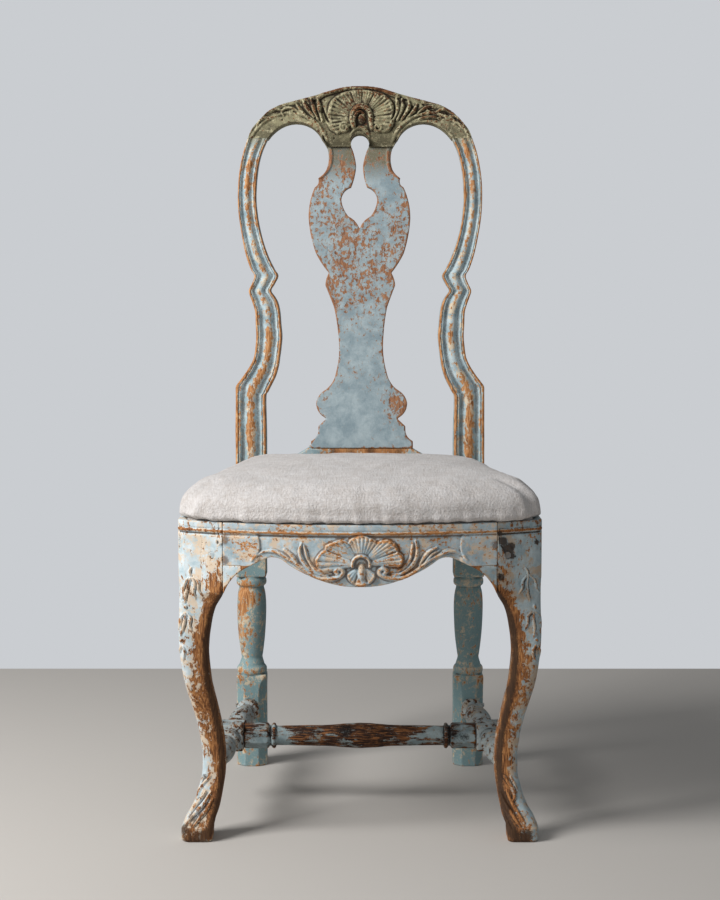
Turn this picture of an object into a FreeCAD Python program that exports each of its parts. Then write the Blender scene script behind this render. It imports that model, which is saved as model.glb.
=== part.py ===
import FreeCAD, Part
import math
import os

# Rococo side chair with a pierced splat, a carved crest, cabriole front legs,
# turned rear legs, an H-shaped stretcher and a linen slip seat that lifts out.
# Millimetres. X runs to the viewer's right, Y backwards and Z up.
# The origin lies on the floor in the middle of the chair.

os.makedirs("parts", exist_ok=True)
V = FreeCAD.Vector

# Whole chair
chair_height = 1096
seat_height = 456
front_half_width = 252
front_reach = 224
post_reach = 187
bow_radius = 590
back_half_width = 199.4
rake_angle = 5.8
joint_gap = 0.4
cut_overrun = 6

# Seat rails
rail_height = 59
rail_thickness = 40
rear_rail_thickness = 34
tenon_length = 30
tenon_thickness = 12
tenon_shoulder = 9
band_height = 13
groove_height = 2.4
groove_depth = 1.8
field_depth = 3
field_half_length = 141
field_foot = 9
rail_drop = 26
lip_width = 12
rebate_depth = 14

# Front legs
leg_width = 64.3
leg_corner = 9
bracket_height = 41
bracket_length = 37
bracket_thickness = 34
bracket_sag_share = 0.11

# Rear posts
post_width = 48.6
post_depth = 44
post_top_depth = 30
post_centre = 175.5
post_block_foot = 310
post_foot_height = 150
post_foot_chamfer = 12
turning_radius = 24
turning_flats = 16

# Crest, splat and shoe
crest_thickness = 30
crest_setback = 1
splat_thickness = 11
splat_setback = 12
splat_foot_height = 62
shoe_thickness = 19
shoe_end_height = 39
shoe_dip = 6

# Carved shells
shell_relief = 6
crest_shell_radius = 58
crest_shell_ribs = 19
crest_fan_angle = 204
hood_radius = 15
hood_hollow_share = 0.66
pearl_share = 0.45
rail_shell_radius = 60
rail_shell_drop = 52
rail_shell_ribs = 13
rail_fan_angle = 208
rail_shell_low_radius = 34
rail_low_ribs = 7
low_fan_angle = 110
rail_shell_flat_share = 0.64
rail_hood_radius = 12

# Stretchers
stretcher_height = 100
stretcher_front_x = 210
stretcher_rear_x = 177
stretcher_radius = 18
stretcher_block = 40
cross_setback = 216
cross_radius = 19
cross_end_share = 0.98
stretcher_tenon = 14
stretcher_tenon_radius = 9

# Pegs and corner blocks
peg_radius = 4.5
peg_length = 32
peg_stand = 0.8
peg_drop = 46
small_peg_radius = 3
small_peg_length = 20
block_leg = 58
block_height = 32
block_drop = 26

# Slip seat
slip_gap = 2.6
slip_thickness = 20
slip_member = 52
cover_thickness = 1.2
cover_return = 34
web_width = 50
web_thickness = 1.6
web_pitch = 112
hessian_thickness = 1
hessian_inset = 30
pad_rise = 66
pad_corner = 26
pad_inset = 5
pad_rear_room = 12
pad_round_share = 0.3
cover_hem = 6
tack_radius = 3
tack_head = 1
tack_shank = 0.9
tack_shank_length = 8
tack_inset = 30
lift_room = 3

# Places that follow from the sizes
front_y = -front_reach
bow_centre_y = front_y + math.sqrt(bow_radius ** 2 - front_half_width ** 2)
rail_foot = seat_height - rail_height
ledge_height = seat_height - rebate_depth
leg_inner_x = front_half_width - leg_width
leg_back_y = front_y + leg_width
post_inner_x = back_half_width - post_width
rake = math.radians(rake_angle)
back_rise = chair_height - seat_height
rear_rail_front_y = post_reach + (post_depth - rear_rail_thickness) / 2
rear_rail_back_y = rear_rail_front_y + rear_rail_thickness
shoe_front_y = rear_rail_back_y - shoe_thickness

# Outline of a stile: height share of the back's rise, then its outer and
# inner edge as shares of the back's half width
stile_shares = (
    (0.0, 1.0, 0.756), (0.06, 1.0, 0.754), (0.14, 1.0, 0.754), (0.22, 1.0, 0.760),
    (0.235, 1.0, 0.742), (0.250, 0.998, 0.718), (0.262, 0.972, 0.698),
    (0.277, 0.935, 0.677), (0.300, 0.887, 0.657), (0.322, 0.855, 0.647),
    (0.345, 0.843, 0.637), (0.375, 0.835, 0.629), (0.405, 0.839, 0.637),
    (0.435, 0.843, 0.645), (0.4575, 0.863, 0.661), (0.4725, 0.881, 0.685),
    (0.489, 0.895, 0.718), (0.506, 0.871, 0.689), (0.526, 0.851, 0.661),
    (0.5425, 0.879, 0.690), (0.570, 0.910, 0.734), (0.600, 0.934, 0.770),
    (0.630, 0.953, 0.798), (0.660, 0.969, 0.819), (0.690, 0.980, 0.832),
    (0.720, 0.984, 0.839), (0.750, 0.982, 0.837), (0.780, 0.974, 0.829),
    (0.810, 0.958, 0.813), (0.840, 0.935, 0.785), (0.8705, 0.903, 0.742),
)
# Section of a stile: share of its width from the outer edge, then of its depth
stile_section_shares = (
    (0.0, 0.12), (0.06, 0.04), (0.14, 0.06), (0.22, 0.15), (0.33, 0.06), (0.50, 0.0),
    (0.67, 0.06), (0.78, 0.15), (0.86, 0.06), (0.94, 0.04), (1.0, 0.12), (1.0, 0.88),
    (0.90, 1.0), (0.10, 1.0), (0.0, 0.88),
)
# Crest and splat outlines: shares of the back's half width and rise
crest_top_shares = (
    (0.903, 0.8705), (0.887, 0.8855), (0.859, 0.9005), (0.815, 0.9156),
    (0.770, 0.9306), (0.702, 0.9456), (0.577, 0.9606), (0.395, 0.9756),
    (0.222, 0.9907), (0.121, 0.9980), (0.0, 1.0),
)
crest_arch_shares = (
    (0.742, 0.8705), (0.702, 0.8855), (0.641, 0.9005), (0.512, 0.9118),
    (0.387, 0.9005), (0.335, 0.8855), (0.306, 0.8705), (0.284, 0.8615),
    (0.265, 0.8505),
)
crest_bulb_shares = (
    (0.068, 0.8505), (0.073, 0.8655), (0.048, 0.8785), (0.024, 0.8822), (0.0, 0.883),
)
splat_neck_shares = (
    (0.265, 0.8505), (0.250, 0.820), (0.266, 0.795), (0.296, 0.7815), (0.332, 0.773),
)
splat_bulb_shares = (
    (0.332, 0.773), (0.327, 0.764), (0.359, 0.750), (0.403, 0.705),
    (0.411, 0.672), (0.383, 0.615), (0.355, 0.585), (0.298, 0.555), (0.252, 0.536),
)
splat_collar_shares = ((0.252, 0.536), (0.274, 0.520), (0.282, 0.505))
splat_waist_shares = (
    (0.282, 0.505), (0.250, 0.480), (0.214, 0.450), (0.190, 0.405), (0.177, 0.352),
    (0.185, 0.315), (0.206, 0.285), (0.250, 0.255), (0.306, 0.240), (0.351, 0.225),
    (0.367, 0.210), (0.359, 0.195), (0.327, 0.180), (0.308, 0.1755), (0.286, 0.171),
)
splat_fillet_shares = ((0.286, 0.171), (0.351, 0.152))
splat_step_shares = ((0.351, 0.152), (0.351, 0.140))
splat_flare_shares = ((0.351, 0.140), (0.375, 0.123), (0.411, 0.115))
splat_side_shares = ((0.411, 0.115), (0.411, 0.097))
pierce_neck_shares = (
    (0.068, 0.8505), (0.040, 0.825), (0.027, 0.803), (0.036, 0.780), (0.065, 0.750),
)
pierce_round_shares = (
    (0.065, 0.750), (0.125, 0.737), (0.145, 0.718), (0.125, 0.695), (0.089, 0.677),
)
pierce_tip_shares = ((0.089, 0.677), (0.036, 0.665), (0.0, 0.645))

# Front leg: height share of the seat height, outer edge as a share of the
# front half width, and width as a share of the leg block
leg_shares = (
    (1.0, 1.0, 1.0), (0.772, 1.0, 1.0), (0.757, 1.0, 0.918), (0.737, 1.0, 0.81),
    (0.713, 1.002, 0.756), (0.689, 1.004, 0.723), (0.638, 1.005, 0.670),
    (0.590, 1.0, 0.627), (0.539, 0.990, 0.616), (0.490, 0.976, 0.599),
    (0.447, 0.955, 0.583), (0.384, 0.923, 0.552), (0.320, 0.899, 0.540),
    (0.258, 0.886, 0.526), (0.193, 0.888, 0.516), (0.129, 0.918, 0.558),
    (0.092, 0.948, 0.622), (0.065, 0.981, 0.670), (0.046, 0.990, 0.680),
    (0.044, 0.997, 0.695), (0.007, 0.997, 0.680), (0.0, 0.990, 0.650),
)
# Lower edge of the front rail: share of the leg's inner place, then of the drop
rail_edge_shares = (
    (1.0, 0.0), (0.80, 0.0), (0.725, -0.28), (0.655, -0.49), (0.607, -0.49),
    (0.56, -0.36), (0.50, -0.05), (0.40, 0.33), (0.29, 0.66), (0.213, 0.83),
    (0.117, 0.96), (0.0, 1.0),
)
# Carved fans: reach of the notches between the ribs, size of the flat middle
fan_notch_share = 0.93
fan_eye_share = 0.25
fan_rim_share = 0.33
# Pearl: height, then radius, both as shares
pearl_shares = ((0.0, 1.0), (0.5, 0.87), (0.85, 0.53), (1.0, 0.2))
# Turnings: place along the turned length, then radius, both as shares
post_turning_shares = (
    (0.0, 0.90), (0.03, 1.0), (0.08, 1.0), (0.12, 0.82), (0.17, 0.71), (0.22, 0.76),
    (0.38, 0.89), (0.55, 0.96), (0.70, 0.98), (0.82, 0.94), (0.90, 0.83),
    (0.925, 0.84), (0.935, 1.0), (0.98, 1.0), (1.0, 0.90),
)
side_front_shares = (
    (0.0, 0.58), (0.10, 0.64), (0.13, 0.90), (0.18, 0.90), (0.21, 0.62), (0.45, 1.0),
    (0.60, 1.06), (0.75, 0.86), (0.80, 0.70), (0.83, 0.98), (0.90, 0.98), (1.0, 0.84),
)
side_rear_shares = (
    (0.0, 0.84), (0.08, 0.98), (0.14, 0.98), (0.16, 0.72), (0.30, 0.98), (0.45, 1.06),
    (0.66, 0.88), (0.76, 0.72), (0.79, 1.0), (0.85, 1.0), (0.88, 0.76), (1.0, 0.70),
)
cross_shares = (
    (0.105, 0.94), (0.112, 0.84), (0.117, 0.84), (0.12, 0.98), (0.135, 0.98),
    (0.138, 0.78), (0.25, 0.80), (0.36, 0.83), (0.43, 0.95), (0.50, 1.0),
)
# Seat pad: share of the plan size, then of the pad's rise
pad_shares = (
    (1.01, 0.0), (1.05, 0.10), (1.068, 0.28), (1.038, 0.53), (0.95, 0.70),
    (0.77, 0.82), (0.60, 0.90), (0.38, 0.97), (0.15, 1.0),
)
# Places along the pad's front edge, from the middle to where the corner starts
front_shares = (0, 0.26, 0.52, 0.77, 1)


def save(name, shape):
    shape.exportStep("parts/" + name + ".step")


def mirrored(shape):
    return shape.mirror(V(0, 0, 0), V(1, 0, 0))


def save_pair(name, shape):
    save(name + "_right", shape)
    save(name + "_left", mirrored(shape))


def box(x0, x1, y0, y1, z0, z1):
    return Part.makeBox(x1 - x0, y1 - y0, z1 - z0, V(x0, y0, z0))


# Arcs through each three neighbouring points, or a line between two
def arcs(points):
    if len(points) == 2:
        return [Part.makeLine(points[0], points[1])]
    ends = zip(points[::2], points[1::2], points[2::2])
    return [Part.Arc(start, middle, end).toShape() for start, middle, end in ends]


def prism(wire, direction):
    return Part.Face(wire).extrude(direction)


def polygon(points):
    return Part.makePolygon(points + [points[0]])


# Solid with flat faces between rings of points that are alike in shape
def faceted(rings):
    faces = [Part.Face(polygon(rings[0])), Part.Face(polygon(rings[-1]))]
    for low, high in zip(rings, rings[1:]):
        for i in range(len(low)):
            faces.append(Part.Face(polygon([low[i - 1], low[i], high[i], high[i - 1]])))
    solid = Part.makeSolid(Part.makeShell(faces))
    if solid.Volume < 0:
        solid.reverse()
    return solid


# Turning with narrow flats round it, like a hand-turned piece under old paint
def turned(shares, length, radius):
    rings = []
    for place, share in shares:
        ring = []
        for step in range(turning_flats):
            angle = 2 * math.pi * step / turning_flats
            reach = share * radius
            ring.append(V(reach * math.cos(angle), reach * math.sin(angle), place * length))
        rings.append(ring)
    return faceted(rings)


def rod(radius, length):
    return turned(((0, 1), (1, 1)), length, radius)


def between(shape, start, end):
    turn = FreeCAD.Rotation(V(0, 0, 1), end - start)
    shape.Placement = FreeCAD.Placement(start, turn)
    return shape


# Front bow of the seat at a distance from the middle line
def bow_y(x, inset):
    radius = bow_radius - inset
    return bow_centre_y - math.sqrt(radius ** 2 - x ** 2)


# The back leans by the rake about the seat's height at the posts' front
def lean(shape):
    shape.rotate(V(0, post_reach, seat_height), V(1, 0, 0), -rake_angle)
    return shape


def back_point(shares, side):
    rise = shares[1] * back_rise / math.cos(rake)
    return V(side * shares[0] * back_half_width, post_reach, seat_height + rise)


def stretch(shares, side):
    return arcs([back_point(pair, side) for pair in shares])


def both_sides(tables):
    edges = []
    for table in tables:
        edges += stretch(table, 1) + stretch(table, -1)
    return edges


def board(edges, setback, thickness):
    wire = Part.Wire(Part.__sortEdges__(edges))
    solid = prism(wire, V(0, thickness, 0))
    solid.translate(V(0, setback, 0))
    return lean(solid)


def stile():
    rings = []
    for place, outer, inner in stile_shares:
        z = seat_height + place * back_rise
        front = post_reach + place * back_rise * math.tan(rake)
        depth = post_depth + (post_top_depth - post_depth) * place
        width = (outer - inner) * back_half_width
        ring = []
        for across, back in stile_section_shares:
            ring.append(V(outer * back_half_width - across * width, front + back * depth, z))
        rings.append(polygon(ring))
    return Part.makeLoft(rings, True, True)


def octagon(half_width, half_depth, chamfer):
    x = half_width
    y = half_depth
    c = chamfer
    corners = [V(x, c - y, 0), V(x, y - c, 0), V(x - c, y, 0), V(c - x, y, 0)]
    corners += [V(-x, y - c, 0), V(-x, c - y, 0), V(c - x, -y, 0), V(x - c, -y, 0)]
    return polygon(corners)


# Whittled peg or stretcher end with eight equal sides
def eight_sided(radius, length):
    corner = radius * (2 - math.sqrt(2))
    return prism(octagon(radius, radius, corner), V(0, 0, length))


def rear_post():
    middle = V(post_centre, post_reach + post_depth / 2, 0)
    foot = prism(
        octagon(post_width / 2, post_depth / 2, post_foot_chamfer),
        V(0, 0, post_foot_height),
    )
    foot.translate(middle)
    length = post_block_foot - post_foot_height
    shaft = turned(post_turning_shares, length, turning_radius)
    shaft.translate(middle + V(0, 0, post_foot_height))
    block = box(
        post_inner_x, back_half_width, post_reach, post_reach + post_depth,
        post_block_foot, seat_height,
    )
    return foot.multiFuse([shaft, block, stile()]).removeSplitter()


def leg_ring(place, outer_share, width_share):
    z = place * seat_height
    outer = outer_share * front_half_width
    width = width_share * leg_width
    inner = outer - width
    front = front_y + front_half_width - outer
    back = front + width
    round_share = (1 - width_share) / 2
    soft = round_share * width
    bow = (bow_y(inner, 0) - front_y) * max(0, place - leg_shares[7][0])
    bow = bow / (1 - leg_shares[7][0])
    cant = max(leg_corner, soft)
    ring = [V(inner, front + soft + bow, z), V(inner + soft / 3, front + soft / 3 + bow, z)]
    ring += [V(inner + soft, front + bow * (1 - round_share), z)]
    ring += [V(outer - cant, front, z), V(outer - cant / 3, front + cant / 3, z)]
    ring += [V(outer, front + cant, z), V(outer, back - soft, z)]
    ring += [V(outer - soft / 3, back - soft / 3, z), V(outer - soft, back, z)]
    ring += [V(inner + soft, back, z), V(inner + soft / 3, back - soft / 3, z)]
    ring += [V(inner, back - soft, z)]
    return ring


# The square block under the seat has plain corners, the leg below it round ones
def front_leg():
    top = leg_shares[0][0] * seat_height
    foot = leg_shares[1][0] * seat_height
    inner_front = bow_y(leg_inner_x, 0)
    side = front_half_width
    corners = [V(leg_inner_x, inner_front, foot), V(side - leg_corner, front_y, foot)]
    corners += [V(side, front_y + leg_corner, foot), V(side, leg_back_y, foot)]
    corners += [V(leg_inner_x, leg_back_y, foot)]
    block = prism(polygon(corners), V(0, 0, top - foot))
    rings = []
    for place, outer, width in leg_shares[2:]:
        rings.append(polygon(leg_ring(place, outer, width)))
    first = leg_shares[2]
    neck = polygon(leg_ring(leg_shares[1][0], first[1], (1 + first[2]) / 2))
    lower = Part.makeLoft([neck] + rings, True, True)
    return block.fuse(lower).removeSplitter()


def seat_outline(inset):
    side = front_half_width - inset
    rear = back_half_width - inset
    far = post_reach - slip_gap
    return side, rear, far


# Plan of the slip seat, cut round the two posts, with its tongue between them
def seat_block(inset, z0, z1, slack):
    side, rear, far = seat_outline(inset)
    near = front_y - front_reach
    tongue = post_inner_x - slip_gap + slack
    back = shoe_front_y - lift_room + slack
    far = far + slack
    half = [V(side, near, z0), V(side, leg_back_y, z0), V(rear, far, z0)]
    half += [V(tongue, far, z0), V(tongue, back, z0)]
    other = [V(-point.x, point.y, z0) for point in reversed(half)]
    slab = prism(polygon(half + other), V(0, 0, z1 - z0))
    disc = Part.makeCylinder(bow_radius - inset, z1 - z0, V(0, bow_centre_y, z0))
    return slab.common(disc)


def well():
    return seat_block(lip_width, ledge_height, seat_height + cut_overrun, slip_gap)


def front_rail():
    outer = bow_radius
    inner = bow_radius - rail_thickness
    low = rail_foot - rail_drop - cut_overrun
    section = [V(outer, 0, low), V(outer, 0, seat_height)]
    section += [V(inner, 0, seat_height), V(inner, 0, low)]
    ring = Part.Face(polygon(section)).revolve(V(0, 0, 0), V(0, 0, 1), 360)
    ring.translate(V(0, bow_centre_y, 0))
    near = front_y - front_reach
    side = leg_inner_x
    points = []
    for side_share, drop_share in rail_edge_shares:
        points.append(V(side_share * side, near, rail_foot - drop_share * rail_drop))
    half = points[1:]
    edge = half + [V(-point.x, near, point.z) for point in reversed(half[:-1])]
    line = [edge[-1], V(-side, near, rail_foot), V(-side, near, seat_height)]
    line += [V(side, near, seat_height), V(side, near, rail_foot), edge[0]]
    wire = Part.Wire(arcs(edge) + Part.makePolygon(line).Edges)
    rail = ring.common(prism(wire, V(0, leg_back_y - near, 0)))
    rail = rail.cut(rail_field(points))
    tenon_y = bow_y(leg_inner_x, 0) + rail_thickness / 2
    tenons = box(
        -leg_inner_x - tenon_length, leg_inner_x + tenon_length,
        tenon_y, tenon_y + tenon_thickness,
        rail_foot + tenon_shoulder, ledge_height - tenon_shoulder,
    )
    gap = box(-leg_inner_x, leg_inner_x, near, leg_back_y, rail_foot, seat_height)
    rail = rail.multiFuse([tenons.cut(gap), rail_shell()])
    return rail.cut(well()).cut(groove()).removeSplitter()


# Groove that sets off the moulded band along the top of rails and legs
def groove():
    z = seat_height - band_height
    wide = front_half_width * 2
    ring = box(-wide, wide, -wide * 2, post_reach - cut_overrun, z - groove_height, z)
    return ring.cut(seat_block(groove_depth, z - groove_height, z, groove_depth))


# Sunk field of the front rail between its plain raised ends
def rail_field(points):
    band = seat_height - band_height
    sunk = bow_radius - field_depth
    far = bow_radius + cut_overrun
    low = rail_foot - rail_drop
    section = [V(sunk, 0, low), V(far, 0, low), V(far, 0, band), V(sunk, 0, band)]
    ring = Part.Face(polygon(section)).revolve(V(0, 0, 0), V(0, 0, 1), 360)
    ring.translate(V(0, bow_centre_y, 0))
    near = front_y - front_reach
    inside = [point for point in points if point.x < field_half_length]
    edge = [V(point.x, near, point.z + field_foot) for point in inside]
    edge += [V(-point.x, near, point.z) for point in reversed(edge[:-1])]
    side = field_half_length
    foot = rail_foot + field_foot
    top = [V(-side, near, foot), V(-side, near, band), V(side, near, band), V(side, near, foot)]
    return ring.common(prism(polygon(edge + top), V(0, front_reach, 0)))


# Pleated fan that stands on a face, opening up or down (1 or -1) by an angle
def fan(radius, ribs, open_angle, up, flat_share):
    back = []
    rim = []
    inner = []
    count = 2 * ribs
    for step in range(count + 1):
        angle = math.radians(open_angle * (step / count - 1 / 2))
        reach = radius * (1 if step % 2 else fan_notch_share)
        spot = V(reach * math.sin(angle), 0, up * reach * flat_share * math.cos(angle))
        back.append(V(spot.x, shell_relief, spot.z))
        rim.append(V(spot.x, -shell_relief * fan_rim_share, spot.z))
        inner.append(V(spot.x * fan_eye_share, -shell_relief, spot.z * fan_eye_share))
    return faceted([back, rim, inner])


# Round boss with a pearl in its hollow, where the ribs of a shell meet
def hood(radius):
    boss = rod(radius, 3 * shell_relief)
    hollow = rod(radius * hood_hollow_share, shell_relief)
    hollow.translate(V(0, 0, 2 * shell_relief))
    pearl = turned(pearl_shares, shell_relief, radius * pearl_share)
    pearl.translate(V(0, 0, 2 * shell_relief))
    shape = boss.cut(hollow).fuse(pearl)
    return between(shape, V(0, shell_relief, 0), V(0, 0, 0))


# Shell in the middle of the front rail: a wide fan, a small one below, a hood
def rail_shell():
    wide = fan(rail_shell_radius, rail_shell_ribs, rail_fan_angle, 1, rail_shell_flat_share)
    low = fan(rail_shell_low_radius, rail_low_ribs, low_fan_angle, -1, 1)
    arch = hood(rail_hood_radius)
    shell = wide.multiFuse([low, arch])
    y = bow_y(0, 0) + field_depth
    shell.translate(V(0, y, seat_height - rail_shell_drop))
    wide = front_half_width
    top = seat_height - band_height
    return shell.common(box(-wide, wide, -wide * 2, 0, rail_foot - rail_drop, top))


def crest_rail():
    tables = (crest_top_shares, crest_arch_shares, crest_bulb_shares)
    edges = both_sides(tables)
    for side in (1, -1):
        low = (crest_top_shares[0], crest_arch_shares[0])
        neck = (crest_arch_shares[-1], crest_bulb_shares[0])
        edges += stretch(low, side) + stretch(neck, side)
    body = board(edges, crest_setback, crest_thickness)
    shell = fan(crest_shell_radius, crest_shell_ribs, crest_fan_angle, 1, 1)
    shell = shell.fuse(hood(hood_radius))
    shell.translate(back_point(crest_bulb_shares[-1], 1) + V(0, crest_setback, 0))
    lean(shell)
    low = (crest_bulb_shares[0][0], pierce_neck_shares[1][1])
    bulb = both_sides((crest_bulb_shares, (crest_bulb_shares[0], low)))
    bulb += arcs([back_point(low, side) for side in (1, -1)])
    hole = board(bulb, -crest_thickness, 3 * crest_thickness)
    return body.fuse(shell).cut(hole).removeSplitter()


def back_splat():
    tables = (
        splat_neck_shares, splat_bulb_shares, splat_collar_shares, splat_waist_shares,
        splat_fillet_shares, splat_step_shares, splat_flare_shares, splat_side_shares,
        pierce_neck_shares, pierce_round_shares, pierce_tip_shares,
    )
    edges = both_sides(tables)
    for side in (1, -1):
        edges += stretch((splat_neck_shares[0], pierce_neck_shares[0]), side)
    edges += arcs([back_point(splat_side_shares[-1], side) for side in (1, -1)])
    return board(edges, splat_setback, splat_thickness)


# Shoe under the splat: its top sweeps up from the posts to the splat's foot
def splat_shoe(splat):
    near = splat_side_shares[-1][0] * back_half_width
    top = seat_height + splat_foot_height
    end = seat_height + shoe_end_height
    half_way = (near + post_inner_x) / 2
    middle = (top + end) / 2 - shoe_dip
    y = shoe_front_y
    right = Part.Arc(V(near, y, top), V(half_way, y, middle), V(post_inner_x, y, end)).toShape()
    left = Part.Arc(V(-near, y, top), V(-half_way, y, middle), V(-post_inner_x, y, end)).toShape()
    foot = Part.makePolygon([
        V(post_inner_x, y, end), V(post_inner_x, y, seat_height),
        V(-post_inner_x, y, seat_height), V(-post_inner_x, y, end),
    ])
    across = Part.makeLine(V(near, y, top + cut_overrun / 3), V(-near, y, top + cut_overrun / 3))
    rise = Part.makeLine(V(near, y, top), V(near, y, top + cut_overrun / 3))
    fall = Part.makeLine(V(-near, y, top), V(-near, y, top + cut_overrun / 3))
    wire = Part.Wire(Part.__sortEdges__([right, left, across, rise, fall] + foot.Edges))
    return prism(wire, V(0, shoe_thickness, 0)).cut(splat)


def rear_rail():
    body = box(
        -post_inner_x, post_inner_x, rear_rail_front_y, rear_rail_back_y,
        rail_foot, seat_height,
    )
    middle = (rear_rail_front_y + rear_rail_back_y) / 2
    tenon = box(
        -post_inner_x - tenon_length, post_inner_x + tenon_length,
        middle - tenon_thickness / 2, middle + tenon_thickness / 2,
        rail_foot + tenon_shoulder, ledge_height - tenon_shoulder,
    )
    return body.fuse(tenon).cut(well()).removeSplitter()


def side_rail():
    outer = [V(front_half_width, leg_back_y, rail_foot), V(back_half_width, post_reach, rail_foot)]
    inner = [V(back_half_width - rail_thickness, post_reach, rail_foot)]
    inner += [V(front_half_width - rail_thickness, leg_back_y, rail_foot)]
    body = prism(polygon(outer + inner), V(0, 0, rail_height))
    low = rail_foot + tenon_shoulder
    high = ledge_height - tenon_shoulder
    front_x = front_half_width - rail_thickness / 2
    front_tenon = box(
        front_x - tenon_thickness / 2, front_x + tenon_thickness / 2,
        leg_back_y - tenon_length, leg_back_y + tenon_length, low, high,
    )
    rear_x = back_half_width - rail_thickness / 2
    rear_tenon = box(
        rear_x - tenon_thickness / 2, rear_x + tenon_thickness / 2,
        post_reach - tenon_length / 3, post_reach + tenon_length / 3, low, high,
    )
    rail = body.multiFuse([front_tenon, rear_tenon])
    return rail.cut(well()).cut(groove()).removeSplitter()


# Bracket in the angle between a leg and a rail, its face hollowed
def bracket_profile(reach, drop, across):
    top = V(0, 0, 0)
    side = across * reach
    sag = reach * bracket_sag_share
    bow = V(side.x / 2, side.y / 2, -drop / 2) + across * (-sag) + V(0, 0, sag)
    tip = V(0, 0, -drop)
    face = Part.Arc(side, bow, tip).toShape()
    return Part.Wire([Part.makeLine(top, side), face, Part.makeLine(tip, top)])


def front_bracket():
    wire = bracket_profile(bracket_length, bracket_height, V(-1, 0, 0))
    solid = prism(wire, V(0, bracket_thickness * 2, 0))
    solid.translate(V(leg_inner_x, bow_y(leg_inner_x, 0) - bracket_thickness, rail_foot))
    foot = V(0, bow_centre_y, rail_foot - bracket_height)
    ring = Part.makeCylinder(bow_radius, bracket_height, foot)
    core = Part.makeCylinder(bow_radius - bracket_thickness, bracket_height, foot)
    return solid.common(ring.cut(core))


def side_bracket():
    wire = bracket_profile(bracket_length, bracket_height, V(0, 1, 0))
    solid = prism(wire, V(-bracket_thickness, 0, 0))
    inset = (front_half_width - back_half_width) * bracket_length / (post_reach - leg_back_y)
    solid.translate(V(front_half_width - inset, leg_back_y, rail_foot))
    return solid


def stretcher_line(y):
    start = front_y + leg_width / 2
    share = (y - start) / (post_reach - start)
    return V(stretcher_front_x + (stretcher_rear_x - stretcher_front_x) * share, y, stretcher_height)


def side_stretcher(cross):
    block_y = front_y + cross_setback
    start = stretcher_line(front_y + leg_width * 2 / 3)
    near = stretcher_line(block_y - stretcher_block / 2)
    far = stretcher_line(block_y + stretcher_block / 2)
    end = stretcher_line(post_reach)
    front = between(turned(side_front_shares, (near - start).Length, stretcher_radius), start, near)
    rear = between(turned(side_rear_shares, (end - far).Length, stretcher_radius), far, end)
    half = stretcher_block / 2
    length = (far - near).Length
    square = Part.makeBox(stretcher_block, stretcher_block, length, V(-half, -half, 0))
    square = between(square, near, far)
    tail = between(rod(stretcher_tenon_radius, stretcher_tenon), end, end + end - far)
    return front.multiFuse([square, rear, tail]).cut(cross).removeSplitter()


# The cross-stretcher has eight-sided ends and a turned middle
def cross_stretcher():
    y = front_y + cross_setback
    half = stretcher_line(y).x - stretcher_block / 2
    end = V(half, y, stretcher_height)
    middle = V(0, y, stretcher_height)
    right = between(turned(cross_shares, 2 * half, cross_radius), end, middle)
    end_length = cross_shares[0][0] * 2 * half
    stub = between(eight_sided(cross_radius * cross_end_share, end_length), end, middle)
    tenon = between(rod(stretcher_tenon_radius, stretcher_tenon), end, end + end - middle)
    right = right.multiFuse([stub, tenon])
    return right.fuse(mirrored(right)).removeSplitter()


def seat_peg(x, y):
    spot = V(x, y - peg_stand, seat_height - peg_drop)
    return between(eight_sided(peg_radius, peg_length), spot, spot + V(0, 1, 0))


def seat_frame_pegs():
    front_x = leg_inner_x + tenon_length / 2
    inner_y = bow_y(leg_inner_x, 0)
    slope = (front_y - inner_y) / (leg_width - leg_corner)
    pegs = []
    for side in (1, -1):
        pegs.append(seat_peg(side * front_x, inner_y + slope * tenon_length / 2))
        outside = side * (back_half_width + peg_stand)
        spot = V(outside, post_reach + tenon_length / 6, seat_height - peg_drop)
        peg = eight_sided(small_peg_radius, rail_thickness * 3 / 4)
        pegs.append(between(peg, spot, spot + V(-side, 0, 0)))
    return Part.makeCompound(pegs)


def crest_pegs():
    pegs = []
    place, outer, inner = stile_shares[-1]
    spot = back_point(((outer + inner) / 2, place), 1)
    for side in (1, -1):
        peg = eight_sided(small_peg_radius, small_peg_length)
        middle = V(0, post_top_depth / 2, -small_peg_length / 2)
        peg.translate(V(side * spot.x, spot.y, spot.z) + middle)
        pegs.append(lean(peg))
    return Part.makeCompound(pegs)


def stretcher_pegs():
    pegs = []
    block_y = front_y + cross_setback
    for side in (1, -1):
        line = stretcher_line(block_y)
        top = stretcher_height + stretcher_block / 2
        spot = V(side * (line.x - stretcher_block / 4), block_y, top)
        peg = eight_sided(small_peg_radius, small_peg_length)
        pegs.append(between(peg, spot, spot + V(0, 0, -1)))
        spot = V(side * stretcher_rear_x, post_reach + stretcher_tenon / 2, stretcher_height)
        peg = eight_sided(small_peg_radius, post_width / 2)
        pegs.append(between(peg, spot, spot + V(side, 0, 0)))
    return Part.makeCompound(pegs)


def corner_block(corner, toward_x, toward_y):
    z = seat_height - block_drop - block_height
    near = [V(corner.x, corner.y, z), V(corner.x + toward_x, corner.y, z)]
    wire = polygon(near + [V(corner.x, corner.y + toward_y, z)])
    return prism(wire, V(0, 0, block_height))


def corner_blocks(rails):
    front_corner = V(leg_inner_x + leg_width / 3, leg_back_y, 0)
    front = corner_block(front_corner, -block_leg, block_leg)
    rear_corner = V(back_half_width - rail_thickness / 2, post_reach, 0)
    rear = corner_block(rear_corner, -block_leg, -block_leg)
    return front.cut(rails), rear.cut(rails)


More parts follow.
